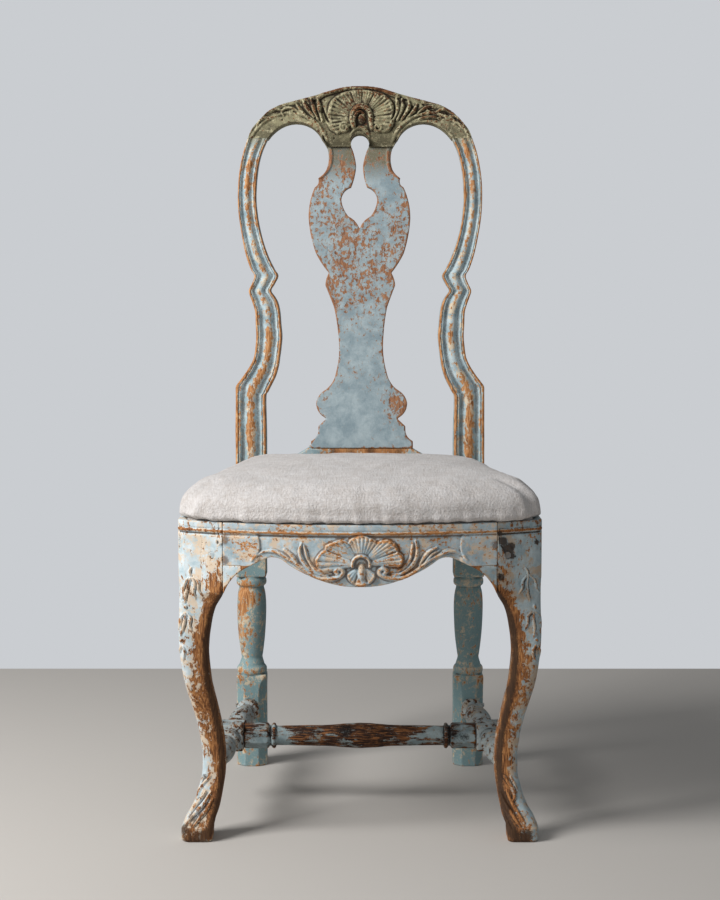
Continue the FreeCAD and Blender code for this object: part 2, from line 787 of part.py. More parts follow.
def slip_frame():
    z0 = ledge_height + cover_thickness
    whole = seat_block(lip_width + slip_gap, z0, z0 + slip_thickness, 0)
    inner_radius = bow_radius - lip_width - slip_gap - slip_member
    disc = Part.makeCylinder(inner_radius, slip_thickness, V(0, bow_centre_y, z0))
    rear_line = post_reach - slip_gap - slip_member
    wide = front_half_width
    behind = box(-wide, wide, rear_line, post_reach + post_depth, z0, z0 + slip_thickness)
    front = whole.cut(disc)
    rear = whole.common(behind)
    sides = whole.common(disc).cut(behind)
    side, far, back = seat_outline(lip_width + slip_gap + slip_member)
    half = [V(side, -front_reach * 2, z0), V(side, leg_back_y, z0), V(far, post_reach, z0)]
    other = [V(-point.x, point.y, z0) for point in reversed(half)]
    middle = prism(polygon(half + other), V(0, 0, slip_thickness))
    pair = sides.cut(middle)
    return front, rear, pair.common(box(0, wide, -wide * 2, wide * 2, z0, z0 + slip_thickness))


def webbing(z):
    along = []
    across = []
    front = -front_reach + slip_member / 2
    back = post_reach - slip_gap * 2
    for place in (-1, 0, 1):
        middle = place * web_pitch
        start = bow_y(middle, lip_width + slip_gap) + slip_member / 2
        along.append(box(
            middle - web_width / 2, middle + web_width / 2, start, back, z, z + web_thickness,
        ))
        y = (front + back) / 2 + middle
        reach = (front_half_width + back_half_width) / 2 - lip_width * 2
        reach = reach - (front_half_width - back_half_width) * place / 3
        across.append(box(
            -reach, reach, y - web_width / 2, y + web_width / 2,
            z + web_thickness, z + 2 * web_thickness,
        ))
    return Part.makeCompound(along), Part.makeCompound(across)


# Plan of the pad at the place where it leaves the frame
def pad_plan(inset):
    inset = lip_width + pad_inset + inset
    side = front_half_width - inset
    rear = back_half_width - inset
    back = shoe_front_y - pad_rear_room - inset + lip_width
    near = bow_y(side, inset)
    half = []
    for share in front_shares:
        x = share * (side - pad_corner)
        half.append(V(x, bow_y(x, inset), 0))
    soft = pad_corner * pad_round_share
    half.append(V(side - soft, near + soft, 0))
    half.append(V(side, near + pad_corner, 0))
    half += [V(side, leg_back_y, 0), V((side + rear) / 2, (leg_back_y + post_reach) / 2, 0)]
    half += [V(rear, back - pad_corner, 0), V(rear - soft, back - soft, 0)]
    half += [V(rear - pad_corner, back, 0)]
    return half + [V(-point.x, point.y, 0) for point in reversed(half[1:])]


# Upholstered pad above the slip frame: crowned, with its sides drawn in below
def pad(inset):
    rings = []
    base = ledge_height + 2 * cover_thickness + slip_thickness
    rise = seat_height + pad_rise - base - inset
    middle = (front_y + post_reach) / 2
    for scale, place in pad_shares:
        ring = []
        for point in pad_plan(inset):
            y = middle + (point.y - middle) * scale
            ring.append(V(point.x * scale, y, base + place * rise))
        rings.append(ring)
    body = faceted(rings)
    edge = post_inner_x - slip_gap - inset
    front = post_reach - slip_gap - inset
    for side in (1, -1):
        x0, x1 = sorted((side * edge, side * front_half_width))
        body = body.cut(box(x0, x1, front, post_reach * 2, 0, chair_height))
    return body


# Linen over the pad and down round the frame, turned under its edge
def seat_cover():
    low = ledge_height
    high = ledge_height + 2 * cover_thickness + slip_thickness
    frame_inset = lip_width + slip_gap
    outer = seat_block(frame_inset - cover_thickness, low, high, cover_thickness)
    core = seat_block(frame_inset, low + cover_thickness, high - cover_thickness, 0)
    under = seat_block(frame_inset + cover_return, low, low + cover_thickness, -cover_return)
    hem = pad_inset + cover_hem
    over = seat_block(frame_inset + hem, high - cover_thickness, high, -hem)
    skirt = outer.cut(core).cut(under).cut(over)
    return skirt.fuse(pad(0).cut(pad(cover_thickness))).removeSplitter()


def tacks():
    z = ledge_height
    inset = lip_width + slip_gap + tack_inset
    spots = []
    for place in (-2, -1, 0, 1, 2):
        x = place * web_pitch / 2
        spots.append(V(x, bow_y(x, inset), z))
    for place in (1, 2, 3):
        y = leg_back_y + place * web_pitch * 2 / 3
        x = front_half_width - inset
        x = x - (front_half_width - back_half_width) * (y - leg_back_y) / (post_reach - leg_back_y)
        spots += [V(x, y, z), V(-x, y, z)]
    rear_y = rear_rail_front_y - 3 * tack_radius
    spots += [V(place * web_pitch, rear_y, z) for place in (-1, 0, 1)]
    pins = []
    for spot in spots:
        wide = octagon(tack_radius, tack_radius, tack_radius / 2)
        head = prism(wide, V(0, 0, tack_head))
        head.translate(spot - V(0, 0, tack_head))
        shank = Part.makeBox(2 * tack_shank, 2 * tack_shank, tack_shank_length)
        shank.translate(spot - V(tack_shank, tack_shank, 0))
        pins.append(head.fuse(shank))
    return Part.makeCompound(pins)


def build():
    splat = back_splat()
    crest = crest_rail()
    post = rear_post()
    seat_pegs = seat_frame_pegs()
    top_pegs = crest_pegs()
    low_pegs = stretcher_pegs()
    front = front_rail()
    rear = rear_rail()
    side = side_rail()
    cross = cross_stretcher()
    runner = side_stretcher(cross)
    leg = front_leg().cut(well()).cut(groove()).cut(front).cut(side).cut(runner).cut(seat_pegs)
    post = post.cut(rear).cut(side).cut(runner).cut(crest)
    post = post.cut(seat_pegs).cut(top_pegs).cut(low_pegs)
    front = front.cut(seat_pegs)
    side = side.cut(seat_pegs)
    cross = cross.cut(low_pegs)
    runner = runner.cut(low_pegs)
    crest = crest.cut(top_pegs)
    save_pair("rear_post", post)
    save("crest_rail", crest)
    save("back_splat", splat)
    save("splat_shoe", splat_shoe(splat).cut(post).cut(mirrored(post)))
    save("rear_seat_rail", rear)
    save("front_seat_rail", front)
    save_pair("side_seat_rail", side)
    save_pair("front_leg", leg)
    save_pair("front_knee_bracket", front_bracket())
    save_pair("side_knee_bracket", side_bracket())
    save_pair("side_stretcher", runner)
    save("cross_stretcher", cross)
    front_block, rear_block = corner_blocks(front.fuse(side).fuse(rear).fuse(leg).fuse(post))
    save_pair("front_corner_block", front_block)
    save_pair("rear_corner_block", rear_block)
    save("seat_frame_pegs", seat_pegs)
    save("crest_pegs", top_pegs)
    save("stretcher_pegs", low_pegs)
    slip_front, slip_rear, slip_side = slip_frame()
    pins = tacks()
    save("slip_front_member", slip_front.cut(pins))
    save("slip_rear_member", slip_rear.cut(pins))
    save_pair("slip_side_member", slip_side.cut(pins))
    frame_top = ledge_height + cover_thickness + slip_thickness
    along, across = webbing(frame_top)
    save("webbing_lengthwise", along)
    save("webbing_crosswise", across)
    cloth_z = frame_top + 2 * web_thickness
    cloth = seat_block(hessian_inset, cloth_z, cloth_z + hessian_thickness, -hessian_inset)
    save("seat_hessian", cloth)
    fill = pad(cover_thickness + joint_gap)
    wide = front_half_width * 2
    below = box(-wide, wide, -wide, wide, 0, cloth_z + hessian_thickness)
    save("seat_stuffing", fill.cut(below))
    save("seat_cover", seat_cover().cut(pins))
    save("cover_tacks", pins)


build()
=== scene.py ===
import math

import bmesh
import bpy
import numpy as np
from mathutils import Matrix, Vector


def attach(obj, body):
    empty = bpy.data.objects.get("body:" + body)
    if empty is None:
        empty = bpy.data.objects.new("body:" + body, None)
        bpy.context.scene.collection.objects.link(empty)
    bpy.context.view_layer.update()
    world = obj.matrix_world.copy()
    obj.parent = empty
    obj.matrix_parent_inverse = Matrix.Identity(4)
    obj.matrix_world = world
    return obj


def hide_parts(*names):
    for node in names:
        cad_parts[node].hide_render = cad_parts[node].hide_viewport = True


# Looks of a painted rococo side chair: old blue-grey paint worn to the birch,
# a mossy carved crest, dark turned stretchers and a linen slip seat.
# Carving, cracks, patches and soil are placed in photograph pixels, tables named
# SHARES hold shares of a size, and the rest is in millimetres.

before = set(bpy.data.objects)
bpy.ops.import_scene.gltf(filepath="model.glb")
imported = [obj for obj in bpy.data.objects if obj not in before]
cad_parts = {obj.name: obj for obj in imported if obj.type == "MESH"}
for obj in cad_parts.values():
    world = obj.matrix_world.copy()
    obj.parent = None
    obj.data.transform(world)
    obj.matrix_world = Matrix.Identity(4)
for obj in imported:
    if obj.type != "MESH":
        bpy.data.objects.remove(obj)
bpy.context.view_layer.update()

MM = 0.001
LEFT, RIGHT = -1, 1

# Driving sizes, as in the frame
CHAIR_HEIGHT = 1096
SEAT_HEIGHT = 456
FRONT_HALF_WIDTH = 252
FRONT_REACH = 224
POST_REACH = 187
BOW_RADIUS = 590
BACK_HALF_WIDTH = 199.4
RAKE = math.radians(5.8)
LEG_WIDTH = 64.3
POST_WIDTH = 48.6
POST_DEPTH = 44
POST_TOP_DEPTH = 30
POST_CENTRE = 175.5
POST_BLOCK_FOOT = 310
STILE_TOP = 1012
POST_FOOT_HEIGHT = 150
TURNING_RADIUS = 24
BAND_HEIGHT = 13
FIELD_DEPTH = 3
FIELD_HALF_WIDTH = 138
FIELD_BACK_Y = -200
LIP_WIDTH = 12
REAR_RAIL_THICKNESS = 34
SHOE_THICKNESS = 19
REBATE_DEPTH = 14
SLIP_GAP = 2.6
SLIP_THICKNESS = 20
CLOTH_THICKNESS = 1.2
CLOTH_RETURN = 34
PAD_RISE = 66
LEG_CORNER = 9
KNEE_EASE = (255, 352)
STRETCHER_HEIGHT = 100
STRETCHER_FRONT_X = 210
STRETCHER_REAR_X = 177
STRETCHER_RADIUS = 18
STRETCHER_BLOCK = 40
CROSS_SETBACK = 216
CROSS_RADIUS = 19
# Millimetres to one photograph pixel, at the front rail
FRONT_PLANE_SCALE = 1.374

FRONT_Y = -FRONT_REACH
BACK_RISE = CHAIR_HEIGHT - SEAT_HEIGHT
BOW_CENTRE_Y = FRONT_Y + math.sqrt(BOW_RADIUS ** 2 - FRONT_HALF_WIDTH ** 2)
BACK_FACING = (0, -math.cos(RAKE), math.sin(RAKE))

# The photograph's camera
PHOTO_WIDTH, PHOTO_HEIGHT = 720, 900
PHOTO_FOCAL = 1854
PHOTO_MIDDLE = 360.5
SENSOR_WIDTH = 36
CAMERA_PLACE = Vector((0, -2762, 784)) * MM
CAMERA_DROP = math.radians(5.2)


# ---- photograph pixels and outlines

def photo_places(points):
    """Where points in metres fall in the photograph, in pixels."""
    ahead = np.array((0, math.cos(CAMERA_DROP), -math.sin(CAMERA_DROP)))
    up = np.array((0, math.sin(CAMERA_DROP), math.cos(CAMERA_DROP)))
    gap = points - np.array(CAMERA_PLACE)
    depth = gap @ ahead
    across = PHOTO_WIDTH / 2 + PHOTO_FOCAL * gap[:, 0] / depth
    down = PHOTO_HEIGHT / 2 - PHOTO_FOCAL * (gap @ up) / depth
    return np.stack((across, down), axis=1)


def smooth_line(points, steps=8):
    """A Catmull-Rom curve through given points."""
    points = np.array(points, dtype=float)
    padded = np.vstack((2 * points[0] - points[1], points, 2 * points[-1] - points[-2]))
    rows = []
    for i in range(len(points) - 1):
        a, b, c, d = padded[i:i + 4]
        for step in range(steps):
            t = step / steps
            rows.append(0.5 * (
                2 * b + (c - a) * t + (2 * a - 5 * b + 4 * c - d) * t ** 2
                + (3 * b - a - 3 * c + d) * t ** 3
            ))
    rows.append(points[-1])
    return np.array(rows)


def wobble(points, size, seed):
    """Slow unevenness of a hand-made surface, between -1 and 1."""
    rng = np.random.default_rng(seed)
    total = np.zeros(len(points))
    for layer in range(6):
        turn = rng.normal(size=3)
        turn *= 2 * math.pi / (size * MM * rng.uniform(0.7, 1.6)) / np.linalg.norm(turn)
        total += np.sin(points @ turn + rng.uniform(0, 2 * math.pi))
    return total / 6


def bump(values, middle, reach):
    """A soft bump: 1 at its middle and almost nothing two reaches away."""
    return np.exp(-((values - middle) / reach) ** 2)


def fade(values, start, end):
    """0 at the start, 1 at the end and even between them."""
    return np.clip((values - start) / (end - start), 0, 1)


# ---- meshes

def new_object(name, verts, faces):
    mesh = bpy.data.meshes.new(name)
    mesh.from_pydata([tuple(v) for v in verts], [], faces)
    mesh.update()
    obj = bpy.data.objects.new(name, mesh)
    bpy.context.scene.collection.objects.link(obj)
    return obj


def band_faces(count, size):
    """The four-sided faces between rings that follow each other."""
    return [(i * size + k, i * size + (k + 1) % size, (i + 1) * size + (k + 1) % size,
             (i + 1) * size + k) for i in range(count - 1) for k in range(size)]


def loft(name, rings):
    """Skin over rings of as many points each, in millimetres, with flat ends."""
    rings = np.array(rings, dtype=float)
    count, size, _ = rings.shape
    verts = rings.reshape(-1, 3) * MM
    faces = band_faces(count, size)
    faces.append(tuple(reversed(range(size))))
    faces.append(tuple(range((count - 1) * size, count * size)))
    obj = new_object(name, verts, faces)
    outward(obj)
    return obj


def outward(obj):
    bm = bmesh.new()
    bm.from_mesh(obj.data)
    bmesh.ops.recalc_face_normals(bm, faces=bm.faces)
    bm.to_mesh(obj.data)
    bm.free()


def joined(name, *objs):
    bm = bmesh.new()
    for obj in objs:
        bm.from_mesh(obj.data)
    mesh = bpy.data.meshes.new(name)
    bm.to_mesh(mesh)
    bm.free()
    for obj in objs:
        bpy.data.objects.remove(obj)
    whole = bpy.data.objects.new(name, mesh)
    bpy.context.scene.collection.objects.link(whole)
    return whole


def with_modifier(obj, kind, **settings):
    """Adds a modifier and makes its result the mesh."""
    modifier = obj.modifiers.new(kind.lower(), kind)
    for key, value in settings.items():
        setattr(modifier, key, value)
    bpy.context.view_layer.update()
    evaluated = obj.evaluated_get(bpy.context.evaluated_depsgraph_get())
    mesh = bpy.data.meshes.new_from_object(evaluated)
    obj.modifiers.clear()
    obj.data = mesh
    return obj


def dense(obj, voxel):
    return with_modifier(obj, "REMESH", mode="VOXEL", voxel_size=voxel * MM)


def copy_of(node, name):
    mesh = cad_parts[node].data.copy()
    mesh.materials.clear()
    obj = bpy.data.objects.new(name, mesh)
    bpy.context.scene.collection.objects.link(obj)
    return obj


def points_of(obj):
    flat = np.empty(len(obj.data.vertices) * 3)
    obj.data.vertices.foreach_get("co", flat)
    return flat.reshape(-1, 3)


def put_points(obj, points):
    obj.data.vertices.foreach_set("co", points.reshape(-1))
    obj.data.update()


def swell(obj, heights):
    """Moves each point along its normal by its height, in millimetres."""
    put_points(obj, points_of(obj) + normals_of(obj) * (heights * MM)[:, None])


def normals_of(obj):
    flat = np.empty(len(obj.data.vertices) * 3, dtype=np.float32)
    obj.data.vertex_normals.foreach_get("vector", flat)
    return flat.reshape(-1, 3).astype(float)


def neighbour_mean(obj):
    """A function that averages any value over each point's neighbours."""
    flat = np.empty(len(obj.data.edges) * 2, dtype=np.int64)
    obj.data.edges.foreach_get("vertices", flat)
    a, b = flat.reshape(-1, 2).T
    count = len(obj.data.vertices)
    degree = np.maximum(np.bincount(a, minlength=count) + np.bincount(b, minlength=count), 1)

    def mean(values):
        columns = values.reshape(count, -1)
        out = np.empty_like(columns)
        for i in range(columns.shape[1]):
            column = columns[:, i]
            out[:, i] = np.bincount(a, column[b], count) + np.bincount(b, column[a], count)
        return (out / degree[:, None]).reshape(values.shape)

    return mean


def relax(obj, rounds, weight=None):
    """Evens the surface. Weight says how much each point follows, 0 to 1."""
    mean = neighbour_mean(obj)
    points = points_of(obj)
    weight = np.ones(len(points)) if weight is None else weight
    for _ in range(rounds):
        points += (mean(points) - points) * weight[:, None] * 0.6
    put_points(obj, points)


def keep_value(obj, name, values):
    layer = obj.data.attributes.new(name, "FLOAT", "POINT")
    layer.data.foreach_set("value", values.astype(np.float32))


def mark_wear_and_shade(obj, patches=(), rounds=5, bias=0, soiled=(), darkening=0, calm=1):
    """Stores how proud, how sunk and how bare each point is, for the paint; sunk drives dirt and
    painted shade.
    """
    mean = neighbour_mean(obj)
    points = points_of(obj)
    even = points.copy()
    for _ in range(rounds):
        even = mean(even)
    proud = ((points - even) * normals_of(obj)).sum(axis=1) / MM
    proud = mean(mean(proud)) * calm
    places = photo_places(points)
    facing = np.clip(0.4 - 1.6 * normals_of(obj)[:, 1], 0, 1)
    dark = darkening + spots(places, soiled) * facing
    keep_value(obj, "proud", np.clip(proud, 0, 2))
    keep_value(obj, "sunk", np.clip(-proud, 0, 2) + dark)
    keep_value(obj, "bare", np.clip(bias + spots(places, patches) * facing, -1, 1.5))


def spots(places, table):
    """Soft round places: rows of photograph x, y, reach in pixels, amount."""
    total = np.zeros(len(places))
    for across, down, reach, amount in table:
        gap = np.hypot(places[:, 0] - across, places[:, 1] - down)
        total += amount * bump(gap, 0, reach)
    return total


# ---- carving, drawn over the photograph's pixels

def near_line(places, line, reach):
    """How far each place is from a line, and how far along the line that is."""
    line = smooth_line(line)
    gap = np.full(len(places), np.inf)
    share = np.zeros(len(places))
    low = line.min(axis=0) - reach
    high = line.max(axis=0) + reach
    inside = np.flatnonzero(np.all((places > low) & (places < high), axis=1))
    for part in np.array_split(inside, len(inside) // 20000 + 1):
        if len(part):
            square = ((places[part][:, None] - line[None]) ** 2).sum(axis=2)
            nearest = square.argmin(axis=1)
            gap[part] = np.sqrt(square[np.arange(len(part)), nearest])
            share[part] = nearest / (len(line) - 1)
    return gap, share


def ridge(places, line, width, height, ends):
    """A rounded raised stroke, as wide at its ends as their shares say."""
    gap, share = near_line(places, line, width)
    form = np.interp(share, (0, 0.5, 1), ends)
    across = np.clip(gap / (width / 2 * form), 0, 1)
    return height * np.sqrt(form) * np.sqrt(1 - across ** 2)


def raised(places, rows):
    """The highest of many strokes: rows of line, width, height and end shares."""
    heights = np.zeros(len(places))
    for row in rows:
        heights = np.maximum(heights, ridge(places, *row))
    return heights


def spiral(centre, radius, start, turns):
    """A scroll that winds inward from a start angle, anticlockwise unless turns is negative."""
    rows = []
    for share in np.linspace(0, 1, 14):
        angle = math.radians(start + 360 * turns * share)
        reach = radius * (1 - 0.72 * share)
        rows.append((centre[0] + reach * math.cos(angle), centre[1] - reach * math.sin(angle)))
    return rows


def dome(places, centre, half_width, half_height, height):
    across = (places[:, 0] - centre[0]) / half_width
    down = (places[:, 1] - centre[1]) / half_height
    return height * np.sqrt(np.clip(1 - across ** 2 - down ** 2, 0, 1))


def fan(places, centre, rim, root, lobes, height, rib_power=0.8):
    """A shell. Rim is a table of (angle, radius) round its centre, and lobes
    are rows of (first angle, last angle, ribs in it)."""
    angles, reaches = np.array(rim, dtype=float).T
    across = places[:, 0] - centre[0]
    up = centre[1] - places[:, 1]
    angle = np.degrees(np.arctan2(up, across))
    angle = (angle - angles[0]) % 360 + angles[0]
    radius = np.hypot(across, up)
    edge = np.interp(angle, angles, reaches)
    out = fade(radius, root, edge)
    inside = (radius > root) & (radius < edge) & (angle <= angles[-1])
    form = np.zeros(len(places))
    for first, last, ribs in lobes:
        share = (angle - first) / (last - first)
        within = (share >= 0) & (share <= 1)
        arch = np.sqrt(np.clip(np.sin(math.pi * share), 0, 1))
        rib = np.abs(np.sin(math.pi * ribs * share)) ** rib_power
        form = np.where(within, 0.28 + 0.42 * arch + 0.30 * rib, form)
    lift = 0.5 + 0.5 * out
    roll = 1.1 * bump(edge - radius, 1.6, 1.1)
    fall = fade(edge - radius, 0, 0.9)
    return np.where(inside, (height * lift * form + roll) * fall, 0)


def on_rim(centre, rim):
    return [(centre[0] + r * math.cos(math.radians(a)), centre[1] - r * math.sin(math.radians(a)))
            for a, r in rim]


def carve(obj, heights, toward):
    """Moves the points that face a direction by their heights, in millimetres."""
    facing = fade(normals_of(obj) @ np.array(toward), 0.25, 0.6)
    put_points(obj, points_of(obj) + np.array(toward) * (heights * facing * MM)[:, None])


def cuts(places, table, depth):
    """Cracks and joints as narrow sunk lines: rows of (line, width)."""
    return -raised(places, [(line, width, depth, (0.5, 1, 0.5)) for line, width in table])


# ---- materials

def linear(code):
    """sRGB hex to linear colour."""
    parts = [int(code[i:i + 2], 16) / 255 for i in (1, 3, 5)]
    return tuple(p / 12.92 if p <= 0.04045 else ((p + 0.055) / 1.055) ** 2.4 for p in parts) + (1,)


def add(tree, kind, inputs=(), **settings):
    """Adds a node with its settings, and sets or links its inputs."""
    node = tree.nodes.new(kind)
    for key, value in settings.items():
        setattr(node, key, value)
    for key, value in dict(inputs).items():
        if isinstance(value, bpy.types.NodeSocket):
            tree.links.new(value, node.inputs[key])
        else:
            node.inputs[key].default_value = value
    return node


def start_material(name):
    material = bpy.data.materials.new(name)
    material.use_nodes = True
    tree = material.node_tree
    tree.nodes.clear()
    return material, tree


def surface(tree, colour, look, height=None, depth=1, strength=1):
    """Ends a material with its colour, its shader's settings and its relief."""
    inputs = {"Base Color": colour, **look}
    if height is not None:
        inputs["Normal"] = add(tree, "ShaderNodeBump", {
            "Height": height, "Distance": depth * MM, "Strength": strength,
        }).outputs[0]
    shader = add(tree, "ShaderNodeBsdfPrincipled", inputs)
    add(tree, "ShaderNodeOutputMaterial", {"Surface": shader.outputs[0]})


def fibre_tones(tree, fibre, tones, places):
    """The colour of wood from the dark to the pale of its fibres."""
    ramp = add(tree, "ShaderNodeValToRGB", {0: fibre})
    elements = ramp.color_ramp.elements
    elements.new(0.5)
    for element, position, colour in zip(elements, places, tones):
        element.position = position
        element.color = linear(colour)
    return ramp.outputs["Color"]


def per_metre(size):
    """Noise scale whose features are about this many millimetres."""
    return 1 / (size * MM)


# Sockets of the node that mixes two colours
FIRST, SECOND, MIXED = 6, 7, 2


def old_paint(name, base, light, dark, wood, worn, flake=4.5, grain=(1, 1, 0.6), cream="#D8C3A4",
              ground=0.3, edge=0.4, dirt_and_shade=0.6, spread=0.45, darkening="#3A2A1E", fades=()):
    """Distemper and oil paint on birch, flaked by hand and heat over 250 years.

    To the eye: a chalky, uneven colour, a warm ground coat where it is rubbed
    thin, orange birch in the chips, dirt and painted shade in the hollows and hardly any shine.
    """
    material, tree = start_material(name)
    coords = add(tree, "ShaderNodeTexCoord").outputs["Object"]
    flaking, fibres = [
        add(tree, "ShaderNodeMapping", {"Vector": coords, "Scale": scale}).outputs[0]
        for scale in (grain, [0.06 if share < 1 else 1 for share in grain])
    ]
    value = {}
    for key, vector, size, detail, rough, bend in (
        ("flake", flaking, flake, 7.0, 0.68, 0.3), ("veil", coords, 3 * flake, 7.0, 0.68, 0.3),
        ("patch", coords, 50, 7.0, 0.68, 0.3), ("tone", coords, 20, 7.0, 0.68, 0.3),
        ("fine", coords, 1.5, 7.0, 0.68, 0.3), ("stain", coords, 36, 7.0, 0.68, 0.3),
        ("fibre", fibres, 1.4, 5.0, 0.6, 0.0),
    ):
        value[key] = add(tree, "ShaderNodeTexNoise", {
            "Vector": vector, "Scale": per_metre(size), "Detail": detail, "Roughness": rough,
            "Distortion": bend,
        }).outputs["Fac"]
    for key in ("proud", "sunk", "bare"):
        value[key] = add(tree, "ShaderNodeAttribute", attribute_name=key).outputs["Fac"]
    sums = []
    if fades:
        value["height"] = add(tree, "ShaderNodeSeparateXYZ", {0: coords}).outputs["Z"]
        sums.append(("level", "height", ("tone", 0.05)))
    # Chips come where the noises, the arris and the rubbed places add up
    for key, first, *rows in (
        *sums,
        ("loose", "flake", ("patch", spread), ("fine", 0.3), ("proud", edge), ("bare", 0.25)),
        ("thin", "veil", ("fine", 0.3), ("proud", 0.3), ("bare", 0.12)),
        ("rubbed_with_painted_light", "fine", ("proud", 0.6)),
        ("grime_and_shade", "fine", ("veil", 0.5), ("sunk", 1.7)),
        ("specks", "fine", ("stain", 0.5)),
        ("grown", "fibre", ("tone", 0.4)),
        ("rough", "fine", ("fibre", 0.12 / 0.25), ("flake", 0.4 / 0.25)),
    ):
        value[key] = value[first]
        for other, weight in rows:
            value[key] = add(tree, "ShaderNodeMath", {0: value[other], 1: weight, 2: value[key]},
                             operation="MULTIPLY_ADD").outputs[0]
    # The layers in order: tone, fades up the chair, stains, rubbed tops that are partly painted
    # highlight, ground coat, wood, and dirt that is partly painted shade in the hollows
    chips = 0.65 + spread / 2 + (1 - worn) * 0.22
    thin = 0.76 - 0.2 * ground
    birch = fibre_tones(tree, value["grown"], wood, (0.52, 0.70, 0.86))
    colour = linear(base)
    for key, low, high, top, over in (
        ("tone", 0.38, 0.62, 1, light),
        *[("level", near * MM + 0.025, far * MM + 0.025, 1, tint) for tint, near, far in fades],
        ("stain", 0.5, 0.7, 0.5, dark),
        # Paler paint on the proud ridges: rubbed wear, and partly a painted highlight
        ("rubbed_with_painted_light", 0.5, 0.85, 0.6, light),
        ("thin", thin, thin + 0.08, 0.8, cream),
        ("loose", chips - 0.05, chips, 0.5, cream),
        ("loose", chips, chips + 0.035, 1, birch),
        # Darkening where the surface is sunk: dirt in the hollows, and painted shade in the
        # recesses of carving and mouldings
        ("grime_and_shade", 1.02, 1.28, dirt_and_shade, darkening),
        ("specks", 0.94, 1.0, dirt_and_shade, "#4A3524"),
    ):
        share = add(tree, "ShaderNodeMapRange", {
            "Value": value[key], "From Min": low, "From Max": high, "To Max": top,
        }).outputs[0]
        if over is birch:
            chipped = share
        colour = add(tree, "ShaderNodeMix", {
            0: share, FIRST: colour, SECOND: over if over is birch else linear(over),
        }, data_type="RGBA").outputs[MIXED]
    # The paint stands a fifth of a millimetre over the wood
    skin = add(tree, "ShaderNodeMath", {0: chipped, 1: -0.22, 2: 0.22}, operation="MULTIPLY_ADD")
    height = add(tree, "ShaderNodeMath", {0: value["rough"], 1: 0.25, 2: skin.outputs[0]},
                 operation="MULTIPLY_ADD")
    gloss = add(tree, "ShaderNodeMapRange", {
        "Value": value["fine"], "From Min": 0.3, "From Max": 0.7, "To Min": 0.6, "To Max": 0.85,
    })
    surface(tree, colour, {"Roughness": gloss.outputs[0], "Specular IOR Level": 0.25},
            height.outputs[0], strength=0.9)
    return material


def bare_timber(name, tones, grain):
    """Sawn and planed wood that never had paint, darkened by age and dust.

    To the eye: long soft fibres, a dry surface and grey dust in the pores.
    """
    material, tree = start_material(name)
    coords = add(tree, "ShaderNodeTexCoord").outputs["Object"]
    grown = add(tree, "ShaderNodeMapping", {"Vector": coords, "Scale": grain}).outputs[0]
    fibre, ring, dust = [
        add(tree, "ShaderNodeTexNoise", {
            "Vector": vector, "Scale": per_metre(size), "Detail": 5.0, "Roughness": 0.6,
            "Distortion": 0.4,
        }).outputs["Fac"]
        for vector, size in ((grown, 1.3), (grown, 9), (coords, 30))
    ]
    both = add(tree, "ShaderNodeMath", {0: ring, 1: 0.6, 2: fibre}, operation="MULTIPLY_ADD")
    darkening = add(tree, "ShaderNodeMapRange", {
        "Value": dust, "From Min": 0.45, "From Max": 0.7, "To Max": 0.35,
    })
    colour = add(tree, "ShaderNodeMix", {
        0: darkening.outputs[0], FIRST: fibre_tones(tree, both.outputs[0], tones, (0.55, 0.8, 1.0)),
        SECOND: linear("#3B2C20"),
    }, data_type="RGBA")
    surface(tree, colour.outputs[MIXED], {"Roughness": 0.72, "Specular IOR Level": 0.25}, fibre,
            strength=0.35)
    return material


def woven(name, pale, deep, thread, slub, relief=0.25, mottle=40, nub=0.3):
    """Plain weave of hand-spun flax or jute, washed soft and a little uneven.

    To the eye: a dry grid of threads, some thicker than others, with no shine.
    """
    material, tree = start_material(name)
    coords = add(tree, "ShaderNodeTexCoord").outputs["Object"]
    bend = add(tree, "ShaderNodeTexNoise", {
        "Vector": coords, "Scale": per_metre(9), "Detail": 3.0,
    }).outputs["Color"]
    push = add(tree, "ShaderNodeVectorMath", {0: bend, "Scale": 1.5 * MM}, operation="SCALE")
    moved = add(tree, "ShaderNodeVectorMath", {0: coords, 1: push.outputs[0]}, operation="ADD")
    waves = [
        add(tree, "ShaderNodeTexWave", {
            "Vector": moved.outputs[0], "Scale": per_metre(thread) / math.pi,
            "Distortion": 0.6, "Detail": 1.0,
        }, bands_direction=axis).outputs["Fac"]
        for axis in ("X", "Y")
    ]
    warp, weft = [
        add(tree, "ShaderNodeMapping", {"Vector": coords, "Scale": stretch}).outputs[0]
        for stretch in ((0.06, 1, 1), (1, 0.06, 0.3))
    ]
    thick_warp, thick_weft, cloud, knots = [
        add(tree, "ShaderNodeTexNoise", {
            "Vector": vector, "Scale": per_metre(size), "Detail": detail, "Roughness": rough,
        }).outputs["Fac"]
        for vector, size, detail, rough in (
            (warp, slub, 4.0, 0.65), (weft, slub, 4.0, 0.65), (coords, mottle, 5.0, 0.6),
            (coords, 2.6 * thread, 4.0, 0.6),
        )
    ]
    weave = add(tree, "ShaderNodeMath", dict(enumerate(waves)), operation="MAXIMUM").outputs[0]
    thick = add(tree, "ShaderNodeMath", {0: thick_warp, 1: thick_weft}, operation="ADD").outputs[0]
    # The tone follows threads and stains, and the relief follows threads and knots
    sums = []
    for rows in (((weave, 0.22), (cloud, 0.8)), ((weave, 0.35), (knots, 10 * nub))):
        total = thick
        for value, weight in rows:
            total = add(tree, "ShaderNodeMath", {0: value, 1: weight, 2: total},
                        operation="MULTIPLY_ADD").outputs[0]
        sums.append(total)
    tone, height = sums
    share = add(tree, "ShaderNodeMapRange", {"Value": tone, "From Min": 1.15, "From Max": 1.85})
    colour = add(tree, "ShaderNodeMix", {
        0: share.outputs[0], FIRST: linear(deep), SECOND: linear(pale),
    }, data_type="RGBA")
    surface(tree, colour.outputs[MIXED], {
        "Roughness": 0.92, "Specular IOR Level": 0.1, "Sheen Weight": 0.25, "Sheen Roughness": 0.6,
    }, height, relief)
    return material


